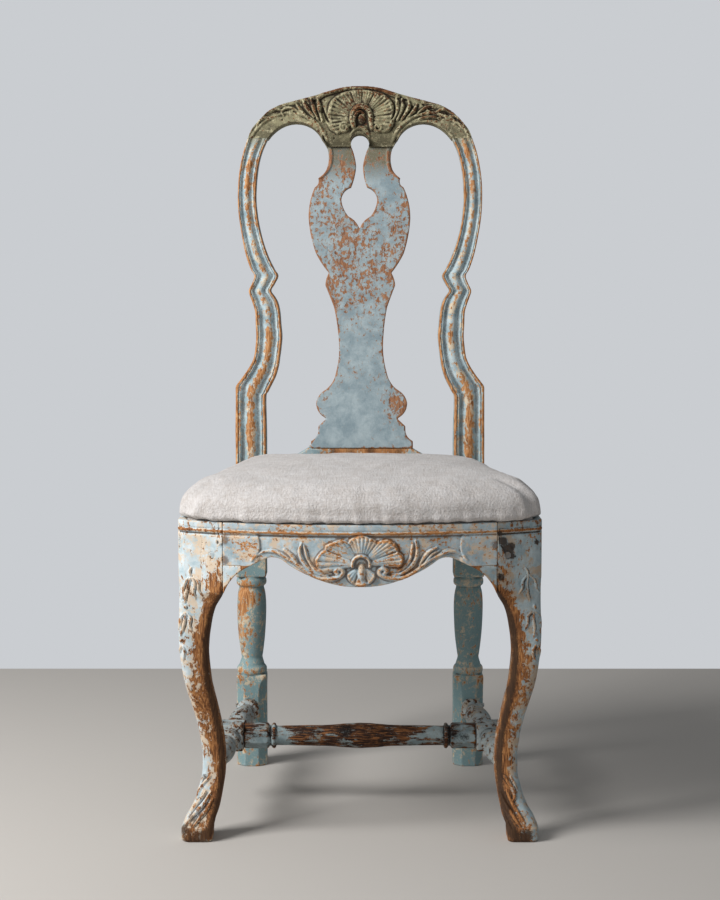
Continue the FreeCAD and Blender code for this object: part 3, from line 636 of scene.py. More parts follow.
def forged_iron(name):
    """Hand-forged tack iron, black from the fire and freckled with rust.

    To the eye: a dark dull metal with brown bloom on its high places.
    """
    material, tree = start_material(name)
    coords = add(tree, "ShaderNodeTexCoord").outputs["Object"]
    bloom = add(tree, "ShaderNodeTexNoise", {
        "Vector": coords, "Scale": per_metre(1.5), "Detail": 5.0,
    }).outputs["Fac"]
    colour = add(tree, "ShaderNodeMix", {
        0: bloom, FIRST: linear("#2B2826"), SECOND: linear("#6B4A33"),
    }, data_type="RGBA")
    surface(tree, colour.outputs[MIXED], {"Roughness": 0.6, "Metallic": 0.7}, bloom, 0.3, 0.6)
    return material


BIRCH = ("#6E4326", "#B27A4A", "#D2A271")
# The legs' birch is darker than the rest, partly painted shade for the legs' inner faces
LEG_BIRCH_WITH_PAINTED_SHADE = ("#4A2E1C", "#8C5A34", "#C48C56")
SPLAT_BIRCH = ("#6A4632", "#97694B", "#B08462")
CREST_BIRCH = ("#2E1E14", "#5E3C25", "#9C6C44")
DARK_BIRCH = ("#120D0B", "#3A2216", "#A0693C")
SPLAT_PAINT = old_paint("blue_oil_paint", "#87989F", "#A8B6BA", "#778A92", SPLAT_BIRCH, 0.53, 5.5,
                        (1, 1, 0.8), "#A89888", ground=-0.1, edge=0.6, spread=0.22,
                        fades=(("#716B56", 946, 976),))
CREST_PAINT = old_paint("mossy_oil_paint", "#5D5843", "#A29C7A", "#45402F", CREST_BIRCH, 0.5, 3.5,
                        (0.7, 1, 1), "#C4BC9A", ground=0.2, edge=0.2, dirt_and_shade=0.95, spread=0.25,
                        darkening="#2A2017", fades=(("#625C48", 1042, 1008),))
POST_PAINT = old_paint("grey_blue_oil_paint", "#869DA5", "#B9C8CC", "#6C8289", BIRCH, 0.36, 5,
                       ground=0.2, edge=0.3, dirt_and_shade=0.7,
                       fades=(("#7B979A", 620, 380), ("#827D66", 985, 1012)))
# The front legs have lit and shaded copies of one paint: the left one lighter for painted light
# from the left, the right one darker and greyer for painted shade
LEFT_LEG_PAINT_IN_PAINTED_LIGHT = old_paint("pale_blue_oil_paint_in_painted_light", "#A9BDC4", "#D3DCDF", "#90A4AB", LEG_BIRCH_WITH_PAINTED_SHADE, 0.40,
                           6, cream="#D9C0A2", ground=0.55, edge=0.22, dirt_and_shade=0.8)
RIGHT_LEG_PAINT_IN_PAINTED_SHADE = old_paint("blue_oil_paint_in_painted_shade", "#889BA2", "#B2BFC2", "#6B7D84", LEG_BIRCH_WITH_PAINTED_SHADE,
                            0.42, 6, cream="#B39B80", ground=0.4, edge=0.28, dirt_and_shade=0.9)
# The rail's darkening colour is tan, for dirt and for the painted shade in the shell's hollows
RAIL_PAINT = old_paint("pale_blue_rail_paint", "#93A7AF", "#C3CED2", "#7D919D", BIRCH, 0.30, 4.5,
                       (0.8, 1, 1), "#D6BC9E", ground=0.35, edge=0.2, dirt_and_shade=0.7, darkening="#5F432E")
SIDE_PAINT = old_paint("pale_blue_side_paint", "#90A5AC", "#BAC6C8", "#768A91", BIRCH, 0.4, 6,
                       (1, 0.6, 1))
STRETCHER_PAINT = old_paint("walked_off_paint", "#6F8084", "#98A6A8", "#1E1916", DARK_BIRCH, 1.12,
                            7, (0.3, 1, 1), "#7A6854", dirt_and_shade=0.97, darkening="#120D0B")
SIDE_STRETCHER_PAINT = old_paint("rubbed_paint", "#869498", "#B0B8B8", "#525B5D", DARK_BIRCH, 0.68,
                                 6, (1, 0.4, 1), "#A6957F", dirt_and_shade=0.85)
OLD_PINE = bare_timber("sawn_pine", ("#5F4630", "#8A6B4A", "#A98B66"), (0.08, 0.08, 1))
RAW_BIRCH = bare_timber("raw_birch", ("#4A3323", "#6E4E35", "#8F6C4B"), (0.08, 0.3, 1))
LINEN = woven("washed_linen", "#D6D2D0", "#B5ACA5", 1.2, 2.0, 0.4, 24, 0.5)
JUTE = woven("jute_web", "#A98E68", "#6E5638", 2.2, 5)
HESSIAN = woven("hessian_cloth", "#9B8260", "#5C4830", 1.8, 4)
IRON = forged_iron("forged_tack_iron")


# ---- finishing a piece

def place(obj, body, material, slot, *nodes):
    """Gives a piece its material, its body and the nodes that it stands for."""
    obj.data.polygons.foreach_set("use_smooth", [True] * len(obj.data.polygons))
    obj.data.update()
    obj.data.materials.clear()
    obj.data.materials.append(material)
    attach(obj, body)
    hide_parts(*nodes)


def bow_y(x, inset=0):
    return BOW_CENTRE_Y - np.sqrt((BOW_RADIUS - inset) ** 2 - np.square(x))


# ---- the two rear posts

# Height share of the back's rise, then outer and inner edge as shares of the
# back's half width
STILE_SHARES = (
    (0.0, 1.0, 0.756), (0.06, 1.0, 0.754), (0.14, 1.0, 0.754), (0.22, 1.0, 0.760),
    (0.235, 1.0, 0.742), (0.250, 0.998, 0.718), (0.262, 0.972, 0.698),
    (0.277, 0.935, 0.677), (0.300, 0.887, 0.657), (0.322, 0.855, 0.647),
    (0.345, 0.843, 0.637), (0.375, 0.835, 0.629), (0.405, 0.839, 0.637),
    (0.435, 0.843, 0.645), (0.4575, 0.863, 0.661), (0.4725, 0.881, 0.685),
    (0.489, 0.895, 0.718), (0.506, 0.871, 0.689), (0.526, 0.851, 0.661),
    (0.5425, 0.879, 0.690), (0.570, 0.910, 0.734), (0.600, 0.934, 0.770),
    (0.630, 0.953, 0.798), (0.660, 0.969, 0.819), (0.690, 0.980, 0.832),
    (0.720, 0.984, 0.839), (0.750, 0.982, 0.837), (0.780, 0.974, 0.829),
    (0.810, 0.958, 0.813), (0.840, 0.935, 0.785), (0.8705, 0.903, 0.742),
)
# Moulded section: share of the width from the outer edge, share of the depth
STILE_SECTION_SHARES = (
    (0.0, 0.12), (0.010, 0.05), (0.035, 0.025), (0.085, 0.025), (0.100, 0.065), (0.118, 0.07),
    (0.130, 0.04), (0.150, 0.045), (0.19, 0.085), (0.24, 0.108), (0.29, 0.105), (0.34, 0.075),
    (0.39, 0.035), (0.44, 0.008), (0.50, 0.0), (0.56, 0.008), (0.61, 0.035), (0.66, 0.075),
    (0.71, 0.105), (0.76, 0.108), (0.81, 0.085), (0.85, 0.045), (0.870, 0.04), (0.882, 0.07),
    (0.900, 0.065), (0.915, 0.025), (0.965, 0.025), (0.990, 0.05), (1.0, 0.12), (1.0, 0.45),
    (1.0, 0.88), (0.985, 0.96), (0.90, 1.0), (0.5, 1.0), (0.10, 1.0), (0.015, 0.96),
    (0.0, 0.88), (0.0, 0.45),
)
POST_TURNING_SHARES = (
    (0.0, 0.86), (0.012, 0.96), (0.03, 1.0), (0.06, 1.0), (0.08, 0.93), (0.09, 0.86),
    (0.12, 0.80), (0.17, 0.71), (0.22, 0.76), (0.38, 0.89), (0.55, 0.96), (0.70, 0.98),
    (0.82, 0.93), (0.885, 0.83), (0.90, 0.82), (0.905, 0.9), (0.925, 1.0), (0.965, 1.0),
    (0.985, 0.92), (1.0, 0.90),
)


def lathe_rings(shares, length, radius):
    """A turning about Z from rows of its length's share and its radius's share."""
    turn = np.linspace(0, 2 * math.pi, 56, endpoint=False)
    return np.array([
        np.stack((np.cos(turn) * reach * radius, np.sin(turn) * reach * radius,
                  np.full(len(turn), share * length)), axis=1)
        for share, reach in smooth_line(shares, 5)
    ])


def stile(side):
    rings = []
    for share, outer, inner in smooth_line(STILE_SHARES, 6):
        share = max(0, share)
        rise = share * BACK_RISE
        depth = POST_DEPTH + (POST_TOP_DEPTH - POST_DEPTH) * share
        front = POST_REACH + rise * math.tan(RAKE)
        width = (outer - inner) * BACK_HALF_WIDTH
        ring = []
        for across, back in STILE_SECTION_SHARES:
            x = outer * BACK_HALF_WIDTH - across * width
            ring.append((side * x, front + back * depth, SEAT_HEIGHT + rise))
        rings.append(ring)
    return loft("stile", rings)


def soft_block(centre, half_width, half_depth, low, high, corner):
    """A square block whose arrises are worn round, as rings of points."""
    rings = []
    rows = ((low, 0.8), (low + corner, 0), (high - corner, 0), (high, 0.8))
    for z, draw in rows:
        x = half_width - draw * corner
        y = half_depth - draw * corner
        ring = []
        for sx, sy, first in ((1, 1, 0), (-1, 1, 90), (-1, -1, 180), (1, -1, 270)):
            for step in range(5):
                turn = math.radians(first + step * 22.5)
                ring.append((
                    centre[0] + sx * (x - corner) + corner * math.cos(turn),
                    centre[1] + sy * (y - corner) + corner * math.sin(turn), z,
                ))
        rings.append(ring)
    return rings


def octagon_ring(centre, half, cut, z):
    flat = half - cut
    plan = ((half, -flat), (half, flat), (flat, half), (-flat, half), (-half, flat), (-half, -flat),
            (-flat, -half), (flat, -half))
    return [(centre[0] + x, centre[1] + y, z) for x, y in plan]


def post_foot(side):
    """Eight-sided foot whose flats end in a lamb's tongue under the turning."""
    centre = (side * POST_CENTRE, POST_REACH + POST_DEPTH / 2)
    half = POST_DEPTH / 2
    top = POST_FOOT_HEIGHT
    rows = ((0, 0.95, 12), (1.5, 1, 12), (top - 34, 1, 12), (top - 22, 1, 11), (top - 13, 1, 8.5),
            (top - 7, 1, 5.5), (top - 3, 0.99, 3), (top - 1, 0.97, 3), (top, 0.93, 4))
    rings = [octagon_ring(centre, half * scale, cut, z) for z, scale, cut in rows]
    foot = loft("foot", rings)
    wide = points_of(foot)
    wide[:, 0] = centre[0] * MM + (wide[:, 0] - centre[0] * MM) * POST_WIDTH / POST_DEPTH
    put_points(foot, wide)
    return foot


def rear_post(side, name):
    centre = (side * POST_CENTRE, POST_REACH + POST_DEPTH / 2)
    rings = lathe_rings(POST_TURNING_SHARES, POST_BLOCK_FOOT - POST_FOOT_HEIGHT, TURNING_RADIUS)
    rings += np.array((centre[0], centre[1], POST_FOOT_HEIGHT))
    shaft = loft("shaft", rings)
    block = loft("block", soft_block(
        (side * (BACK_HALF_WIDTH - POST_WIDTH / 2), centre[1]), POST_WIDTH / 2, POST_DEPTH / 2,
        POST_BLOCK_FOOT, SEAT_HEIGHT + 1, 1.6,
    ))
    lower = dense(joined("lower", shaft, block, post_foot(side)), 1.1)
    relax(lower, 1)
    upper = with_modifier(stile(side), "SUBSURF", levels=1, subdivision_type="SIMPLE")
    post = joined(name, upper, lower)
    swell(post, 0.35 * wobble(points_of(post), 60, 3 + side))
    return post


def rubbed_lines(post):
    """The stile's crown and its two edges are worn along their whole length."""
    points = points_of(post) / MM
    share = (points[:, 2] - SEAT_HEIGHT) / BACK_RISE
    table = np.array(STILE_SHARES)
    outer = np.interp(share, table[:, 0], table[:, 1]) * BACK_HALF_WIDTH
    inner = np.interp(share, table[:, 0], table[:, 2]) * BACK_HALF_WIDTH
    across = (outer - np.abs(points[:, 0])) / (outer - inner)
    front = POST_REACH + share * BACK_RISE * math.tan(RAKE)
    facing = (share > 0) & (points[:, 1] < front + 5)
    crown = (0.2 + 0.7 * wobble(points * MM, 70, 17)) * bump(across, 0.52, 0.13)
    edges = 0.9 * (bump(across, 0, 0.06) + bump(across, 1, 0.06))
    hollow = -0.5 * (bump(across, 0.26, 0.08) + bump(across, 0.76, 0.08))
    whole = (crown + edges + hollow) * fade(share, 0.866, 0.846)
    return np.where(facing, whole, 0)


# Places rubbed or chipped bare: photograph x, y, reach in pixels, amount
LEFT_POST_PATCHES = (
    (266, 290, 26, 0.2), (262, 345, 16, 0.3), (246, 430, 18, 0.3), (250, 185, 9, 0.7),
    (252, 205, 9, 0.7), (250, 165, 9, 0.6), (254, 222, 9, 0.5), (265, 372, 20, 0.3),
    (240, 418, 8, 0.45), (252, 395, 18, 0.3), (250, 442, 16, 0.3), (243, 590, 9, 0.8),
    (242, 610, 9, 0.9), (244, 630, 10, 0.9),
    (242, 650, 9, 0.6), (252, 600, 8, 0.5), (240, 672, 12, 0.6), (246, 745, 12, 0.25),
)
RIGHT_POST_PATCHES = (
    (455, 162, 14, 0.3), (462, 185, 12, 0.5), (466, 205, 12, 0.4), (458, 345, 16, 0.2),
    (478, 330, 12, 0.4), (480, 420, 8, 0.5), (462, 385, 18, 0.35), (478, 160, 9, 0.4),
    (466, 425, 16, 0.3), (468, 672, 12, 0.3), (482, 680, 6, 0.6), (468, 740, 16, 0.15),
    (470, 395, 16, 0.3), (468, 445, 14, 0.3), (470, 600, 10, 0.3),
)
for side, name, patches in ((LEFT, "rear_post_left", LEFT_POST_PATCHES),
                            (RIGHT, "rear_post_right", RIGHT_POST_PATCHES)):
    post = rear_post(side, name + "_carved")
    x, y, z = points_of(post).T / MM
    front = POST_REACH + np.maximum(z - SEAT_HEIGHT, 0) * math.tan(RAKE)
    calm = fade(z, STILE_TOP, STILE_TOP - 8)
    calm *= np.where((y > front + 5) & (z > SEAT_HEIGHT), 0.15, 1)
    mark_wear_and_shade(post, patches, bias=rubbed_lines(post), calm=calm)
    place(post, "frame", POST_PAINT, "painted_birch", name)


# ---- crest rail with its shell and leaf scrolls

# Lines are in photograph pixels. A rim has rows of degrees and pixels from its
# centre, a lobe the degrees it starts and ends at and its ribs, and a leaf its
# line and width.
FAN_CENTRE = (361.5, 118.5)
CREST_RIM = (
    (-28, 30), (-14, 31.5), (0, 31.5), (16, 33), (30, 33.5), (48, 31.5), (66, 28.5), (82, 27.6),
    (98, 27.8), (114, 29), (132, 31.5), (150, 34), (166, 33.5), (180, 32.5), (196, 32), (214, 29),
)
CREST_LOBES = (
    (-28, 8, 4), (8, 36, 4), (36, 63, 4), (63, 88, 4), (88, 113, 4), (113, 142, 4),
    (142, 174, 4), (174, 214, 5),
)
CREST_CAP = ((318, 98), (324, 94), (333, 91), (345, 88.2), (361, 87), (376, 88), (390, 93),
             (398, 96))
CREST_HOOD = ((353.5, 127), (351.5, 120), (352.5, 113), (357, 108), (362, 106.4), (367.5, 109),
              (370.5, 115), (371, 122), (372, 128))
CREST_INNER_HOOD = ((354.6, 127), (354, 120), (356, 114), (360.5, 111.6), (364.5, 114))
CREST_LIP = ((350.5, 134), (355, 129.4), (361, 127.6), (366.4, 130.6), (369, 136), (369.5, 142))
CREST_LEAVES = (
    (((317, 99), (319, 104), (319.4, 111), (322.5, 121)), 5),
    (((311, 99), (312.6, 104), (314.5, 111), (318, 119)), 4.6),
    (((303, 100), (305, 105), (309, 111), (314, 117)), 4.4),
    (((396, 98), (397.5, 104), (397, 112), (393, 121)), 5),
    (((402, 99), (402.5, 105), (401, 112), (397, 120)), 4.6),
    (((409, 101), (409, 107), (406, 113), (402, 119)), 4.4),
    (((327, 122), (331, 128), (337, 131), (343, 131)), 4),
    (((394, 122), (390, 128), (385, 131), (379, 131)), 4),
    (((296, 103), (299, 108), (303, 113), (309, 118)), 4),
    (((417, 104), (415, 109), (412, 113), (407, 118)), 4),
    (((284, 116), (281.6, 112.4), (285, 108.6), (291, 108.2), (297, 111), (304, 116)), 3.4),
    (((262, 117), (268, 111.6), (276, 109.4), (283, 110.4)), 3.6),
    (((256, 129), (259, 122), (264, 118.4), (270, 117.6)), 3.4),
    (((436, 108), (430, 106.4), (424, 108.6), (418, 113)), 3.4),
    (((441, 119.6), (436, 117.4), (428, 117), (419, 119)), 3.0),
    (((455, 114), (449, 110.4), (442, 109.6), (437, 112)), 3.6),
    (((465, 127), (462, 121), (457, 117), (450, 116)), 3.2),
)
CREST_BEADS = (
    ((287, 113), (300, 114.5), (310, 118.5), (318, 125), (325, 134), (329, 146)),
    ((436, 113), (425, 113.5), (413, 117), (403, 124), (396, 133), (391, 146)),
)
CREST_ARMS = (
    ((246, 133), (252, 122), (262, 113), (275, 107.5), (292, 102.5), (306, 99)),
    ((474, 133), (469, 122), (459, 113.5), (447, 108), (430, 102.5), (416, 98)),
)
CREST_HOLES = (
    (((313.6, 101.4), (317, 100.6)), 3.2), (((397.5, 103), (398.5, 106)), 2.6),
    (((404.5, 99.6), (407, 100.4)), 2.2), (((408.5, 112), (409.6, 113)), 2.2),
    (((326, 134), (326.4, 135)), 2), (((334, 137.2), (334.6, 137.8)), 2),
    (((306, 115.2), (306.5, 115.8)), 1.6), (((282, 119.6), (282.5, 119.8)), 2.0),
    (((437.5, 116.8), (438, 117)), 2.4), (((422, 104), (425, 105.4)), 1.8),
    (((430, 110.6), (434, 111)), 1.8), (((446, 113), (449, 115)), 1.8),
    (((455, 119), (457, 121.6)), 1.8), (((412, 105.4), (413, 108)), 1.6),
    (((323, 108), (326, 117), (330, 123)), 2.4),
    (((395, 108), (393.6, 115), (391, 121)), 2.2),
)
CREST_PATCHES = (
    (361, 86.5, 4, 0.8), (371, 87, 4, 0.55), (381, 88.5, 4, 0.8), (350, 87, 4, 0.5),
    (340, 88.5, 4, 0.75), (391, 91, 4, 0.6), (330, 91, 4, 0.5), (300, 122, 14, 0.25),
    (320, 138, 12, 0.2), (355, 100, 16, 0.2), (362, 110, 8, 0.4), (382, 96, 12, 0.25),
    (365, 122, 6, 0.5), (428, 108, 16, 0.25), (448, 114, 12, 0.3), (462, 124, 10, 0.3),
    (310, 104, 8, 0.5), (262, 112, 10, 0.2), (350, 108, 10, 0.3),
)
CREST_SOIL = (
    (313, 102, 4, 0.35), (320, 112, 4, 0.25), (333, 106, 7, 0.15), (337, 124, 6, 0.15),
    (361, 121, 5, 0.3), (393, 112, 6, 0.2), (404, 101, 4, 0.3), (418, 107, 5, 0.15),
    (432, 109, 5, 0.2), (447, 113, 5, 0.2), (458, 121, 4, 0.2), (475, 131, 4, 0.5),
    (246, 131, 4, 0.3),
)


def crest_relief(places):
    strokes = [
        (on_rim(FAN_CENTRE, CREST_RIM[1:-1]), 2.6, 6.0, (0.8, 1, 0.8)),
        (CREST_CAP, 6.4, 6.6, (0.7, 1, 0.7)),
        (CREST_HOOD, 6.8, 9.5, (0.6, 1, 0.7)),
        (CREST_INNER_HOOD, 3.6, 7.5, (0.8, 1, 0.4)),
        (CREST_LIP, 4.4, 4.2, (0.4, 1, 0.6)),
        (spiral((344.4, 127.6), 5, 60, 1.3), 3.6, 6, (1, 0.9, 0.9)),
        (spiral((377.4, 127.8), 5, 120, -1.3), 3.6, 6, (1, 0.9, 0.9)),
    ]
    strokes += [(line, width, 5.5, (0.35, 1, 0.5)) for line, width in CREST_LEAVES]
    strokes += [(line, 3.8, 3.2, (0.5, 1, 1)) for line in CREST_BEADS]
    for line in CREST_ARMS:
        inner = [(x + (361 - x) * 0.035, y + 7.8) for x, y in line[:5]]
        strokes += [(line, 8.5, 3.4, (1, 1, 0.5)), (inner, 3.4, 2.6, (1, 1, 0.7))]
    heights = fan(places, FAN_CENTRE, CREST_RIM, 9, CREST_LOBES, 7.0, 1.2)
    heights = np.maximum(heights, dome(places, (361.6, 119), 3.8, 5.5, 4.5))
    heights = np.maximum(heights, raised(places, strokes))
    # Below the shell the wood thins to the splat's face, without a step
    thin = fade(places[:, 1], 126, 144) * fade(np.abs(places[:, 0] - 360), 42, 36)
    return heights * (1 - 0.6 * thin) - 10.4 * thin ** 1.4 + cuts(places, CREST_HOLES, 3.5)


def crest_damage(points, places):
    """Chisel marks everywhere, and the deeper rot of the right-hand arm."""
    across, down = places.T
    rot = fade(across, 402, 422) * fade(across, 474, 462) * fade(down, 128, 120)
    marks = 0.5 * wobble(points, 11, 41) + 0.35 * wobble(points, 5, 42)
    return marks * fade(down, 142, 137) + rot * (1.6 * wobble(points, 9, 43) - 0.4)


def flatten_front(obj, offset):
    """Presses whatever stands before the crest's face back onto that face."""
    points = points_of(obj)
    normal = -np.array(BACK_FACING)
    depth = (points - np.array((0, POST_REACH, SEAT_HEIGHT)) * MM) @ normal
    put_points(obj, points + normal * np.maximum(offset * MM - depth, 0)[:, None])


crest = copy_of("crest_rail", "crest_rail_carved")
flatten_front(crest, 4.5)
crest = dense(crest, 0.95)
relax(crest, 3, fade(photo_places(points_of(crest))[:, 1], 141, 137))
places = photo_places(points_of(crest))
carve(crest, crest_relief(places) + crest_damage(points_of(crest), places), BACK_FACING)
relax(crest, 1)
mark_wear_and_shade(crest, CREST_PATCHES, 4, soiled=CREST_SOIL,
          calm=fade(photo_places(points_of(crest))[:, 1], 143, 140))
place(crest, "frame", CREST_PAINT, "painted_birch", "crest_rail")


# ---- splat and its shoe

SPLAT_PATCHES = (
    (345, 228, 20, 0.30), (372, 236, 18, 0.15), (325, 215, 16, 0.25), (352, 258, 24, 0.25),
    (385, 212, 8, 0.1), (376, 268, 14, 0.3), (340, 265, 14, 0.3), (350, 292, 18, 0.25),
    (370, 296, 16, 0.3), (342, 163, 8, 0.55), (346, 175, 7, 0.5), (322, 190, 12, 0.4),
    (371, 162, 8, 0.35), (352, 320, 14, 0.05), (345, 345, 10, -0.05), (380, 350, 8, 0.35),
    (392, 276, 8, 0.7), (330, 284, 8, 0.6), (336, 300, 8, 0.4), (386, 300, 8, 0.4),
    (395, 400, 9, 0.7), (402, 412, 9, 0.6), (388, 422, 10, 0.2), (362, 375, 8, 0.2),
    (330, 398, 8, 0.2), (402, 178, 5, 0.6), (319, 178, 5, 0.6), (405, 205, 6, 0.4),
    (392, 205, 12, -0.05), (380, 185, 12, -0.1), (398, 222, 14, 0.35), (400, 245, 12, 0.35),
    (350, 415, 26, -0.45), (335, 440, 20, -0.5),
    (362, 350, 18, -0.25), (380, 440, 18, -0.3), (400, 232, 10, 0.3), (388, 252, 10, 0.3),
    (384, 158, 6, 0.45), (389, 172, 5, 0.4), (376, 205, 7, 0.3), (412, 268, 8, 0.3),
)
SPLAT_CUTS = (
    (((352, 222), (352.6, 227), (354.4, 232)), 1.2),
    (((327.6, 238), (328, 250), (325.6, 258)), 1.1),
    (((373, 232), (371.6, 246), (371, 262)), 1.4), (((346, 180), (343.6, 187), (343, 193)), 1.0),
    (((335, 229), (335.4, 231)), 2.4), (((394, 229.4), (394.6, 230.4)), 2.4),
    (((339, 300), (339.5, 312)), 0.8), (((336, 384), (345, 386)), 0.9),
)
SPLAT_BEADS = (
    ((328.8, 143), (331.3, 152), (331.2, 162), (328.6, 170), (324, 175), (319.4, 177.6)),
    ((390.6, 143), (388, 152), (388.2, 162), (390.8, 170), (395.4, 175), (400, 178)),
)
# The board was sawn a little askew: height, then how far it stands to the right
SPLAT_DRIFT = ((516, 3.2), (560, 3.0), (700, 1.5), (850, -0.5), (940, -1.4), (1001, 0))

splat = dense(copy_of("back_splat", "back_splat_board"), 1.0)
relax(splat, 3)
points = points_of(splat)
places = photo_places(points)
heights = wobble(points, 70, 21) * 0.35 + cuts(places, SPLAT_CUTS, 1.0)
beads = raised(places, [(line, 3.6, 1.8, (1, 1, 0.9)) for line in SPLAT_BEADS])
carve(splat, np.where(beads > 0, np.maximum(heights, beads), heights), BACK_FACING)
drift_height, drift = np.array(SPLAT_DRIFT).T * MM
points = points_of(splat)
points[:, 0] += np.interp(points[:, 2], drift_height, drift)
put_points(splat, points)
places = photo_places(points)
mark_wear_and_shade(splat, SPLAT_PATCHES, calm=fade(places[:, 1], 149, 152))
place(splat, "frame", SPLAT_PAINT, "painted_birch", "back_splat")


# ---- front rail with its shell

RAIL_HUB = (361.1, 564.5)
RAIL_RIM = (
    (-4, 38), (-1.4, 40.5), (5.4, 42.7), (12, 42.9), (18.9, 39.7), (22, 40.2), (31.8, 40.5),
    (42.8, 36.4), (50, 31), (53.8, 27.6), (57, 28), (65.8, 28.4), (86, 29.2), (110.7, 28.2),
    (118, 26.6), (119.9, 25.7), (124, 29), (133.8, 33.8), (145, 37.5), (152, 40.5), (158, 39.5),
    (162, 42), (173.8, 46.3), (182, 45), (188, 42.4), (193, 39),
)
RAIL_LOBES = ((-4, 20.5, 4), (20.5, 53.8, 5), (53.8, 119.9, 7), (119.9, 157, 5), (157, 193, 4))
RAIL_LOW_LOBES = ((214, 250, 3), (250, 290, 1), (290, 326, 3))
RAIL_LOW_RIM = ((214, 17), (222, 19), (236, 20.5), (250, 21.5), (270, 22.3), (290, 21.5),
                (304, 20.5), (318, 19), (326, 17))
RAIL_SCROLLS = (
    ((268, 551), (277, 552.5), (285, 557), (299.8, 566), (312.7, 575.3), (324.5, 578.8),
     (334.4, 578.3), (341.3, 574.8), (342.6, 571), (339.4, 568.6), (335.6, 570.4), (337.6, 573.2)),
    ((455, 551), (448, 552), (440, 555), (428.3, 561), (413.5, 572.4), (401.6, 577.8),
     (388.8, 577.8), (380.9, 574.4), (379.4, 571), (382.6, 568.4), (386.4, 570.2), (384.4, 573.2)),
)
RAIL_LEAVES = (
    (((301.3, 543.6), (299.4, 551), (302.4, 560.5), (308.7, 568.4), (317.6, 573.6),
      (328, 575.8)), 5),
    (((303.8, 545.4), (306, 553), (307.6, 559)), 3.2),
    (((308.2, 560), (313, 567.4), (321, 572.2), (331, 573.5)), 3.6),
    (((284, 549.5), (290.6, 554.8), (295.4, 560.6), (299, 566.5)), 4.4),
    (((415.8, 540.8), (417.2, 549.6), (415.8, 558.6), (409.6, 567.4), (400.7, 573.6),
      (392, 575.4)), 5),
    (((412.6, 543.4), (411.6, 552.4), (409.6, 560.5), (404, 567.6), (398, 571)), 3.6),
    (((437, 547.6), (429, 551.6), (423.6, 558), (419.6, 564.6)), 4.4),
    (((440, 550), (433, 553.6), (427.4, 559), (422.4, 565)), 3.2),
)
RAIL_EDGES = (
    ((251.5, 560.5), (256, 556), (263, 551.8), (272, 550.6), (280, 553.4), (290, 559.6),
     (300, 567.5)),
    ((467.5, 560), (463, 555.6), (456, 551.6), (448, 550.4), (440, 553.4), (431, 559),
     (421, 567.4)),
)
RAIL_ENDS = (
    ((257.2, 533), (259.3, 540), (259.8, 548), (257.6, 555), (253.5, 560)),
    ((462.8, 533), (460.9, 540), (460.4, 548), (462.4, 555), (466, 560)),
)
RAIL_PATCHES = (
    (300, 532, 40, 0.22), (420, 532, 40, 0.22), (235, 540, 12, 0.2), (250, 545, 10, 0.3),
    (361, 575, 10, 0.2), (330, 580, 12, 0.4), (395, 578, 14, 0.4), (478, 545, 14, 0.35),
    (440, 528, 18, 0.3), (280, 527, 20, 0.2), (361, 586, 8, 0.6), (246, 552, 12, 0.35),
    (338, 552, 14, 0.3), (384, 552, 14, 0.3), (361, 547, 12, 0.3), (310, 572, 10, 0.3),
    (412, 572, 10, 0.3), (232, 533, 8, 0.3), (486, 552, 10, 0.3),
)
RAIL_SOIL = ((224.4, 540, 5, 0.5), (224.4, 560, 5, 0.5), (496.6, 545, 5, 0.5))


def rail_relief(places):
    hood = on_rim(RAIL_HUB, [(turn, 8.8) for turn in range(-12, 193, 17)])
    strokes = [(hood, 3.4, 9.2, (0.9, 1, 0.9))]
    strokes += [(line, 5.2, 6.2, (0.35, 1, 1)) for line in RAIL_SCROLLS]
    strokes += [(line, width, 5.0, (0.45, 1, 0.5)) for line, width in RAIL_LEAVES]
    strokes += [(line, 3.0, 2.6, (0.7, 1, 1)) for line in RAIL_EDGES]
    return np.max((
        fan(places, RAIL_HUB, RAIL_RIM, 9.6, RAIL_LOBES, 8.2, 0.7),
        fan(places, RAIL_HUB, RAIL_LOW_RIM, 6, RAIL_LOW_LOBES, 6.2),
        dome(places, (361.4, 572.5), 4.4, 9.5, 8.6),
        raised(places, strokes),
    ), axis=0)


def raised_ends(places, line, side):
    """The plain ends of the rail stay proud, up to a scooped edge."""
    line = smooth_line(line)
    order = np.argsort(line[:, 1])
    edge = np.interp(places[:, 1], line[order, 1], line[order, 0])
    return np.clip((edge - places[:, 0]) * -side / 0.8 + 0.5, 0, 1)


def front_rail():
    """The rail with the construction's shell pressed back, ready for carving."""
    rail = dense(copy_of("front_seat_rail", "front_seat_rail_carved"), 1.0)
    points = points_of(rail)
    x, y, z = points.T
    radius = np.hypot(x, y - BOW_CENTRE_Y * MM)
    face = (BOW_RADIUS - FIELD_DEPTH) * MM
    field = (np.abs(x) < FIELD_HALF_WIDTH * MM) & (z < (SEAT_HEIGHT - BAND_HEIGHT - 1) * MM)
    pull = np.where(field & (radius > face) & (y < FIELD_BACK_Y * MM), face / radius, 1)
    points[:, 0] = x * pull
    points[:, 1] = (y - BOW_CENTRE_Y * MM) * pull + BOW_CENTRE_Y * MM
    put_points(rail, points)
    rail = dense(rail, 0.95)
    relax(rail, 3)
    return rail


def below_top(obj):
    """How far each point is below the rail's top, in pixels at the front."""
    return (SEAT_HEIGHT - points_of(obj)[:, 2] / MM) / FRONT_PLANE_SCALE


def band_moulding(obj):
    """Flat band, small bead and cove along the top of the rail and legs."""
    down = below_top(obj)
    bead = 1.1 * np.sqrt(np.clip(1 - ((down - 9.2) / 1.8) ** 2, 0, 1))
    whole = bead - 0.9 * bump(down, 6.6, 0.7) - 2.2 * bump(down, 12.2, 1.3)
    return np.where(down < (BAND_HEIGHT + 6) / FRONT_PLANE_SCALE, whole, 0)


def bead_wear_and_shade(obj):
    """The moulding's bead is rubbed to the wood along its whole length, a line that is also painted
    shade under the fillet.
    """
    return 0.8 * bump(below_top(obj), 8.6, 1.2)


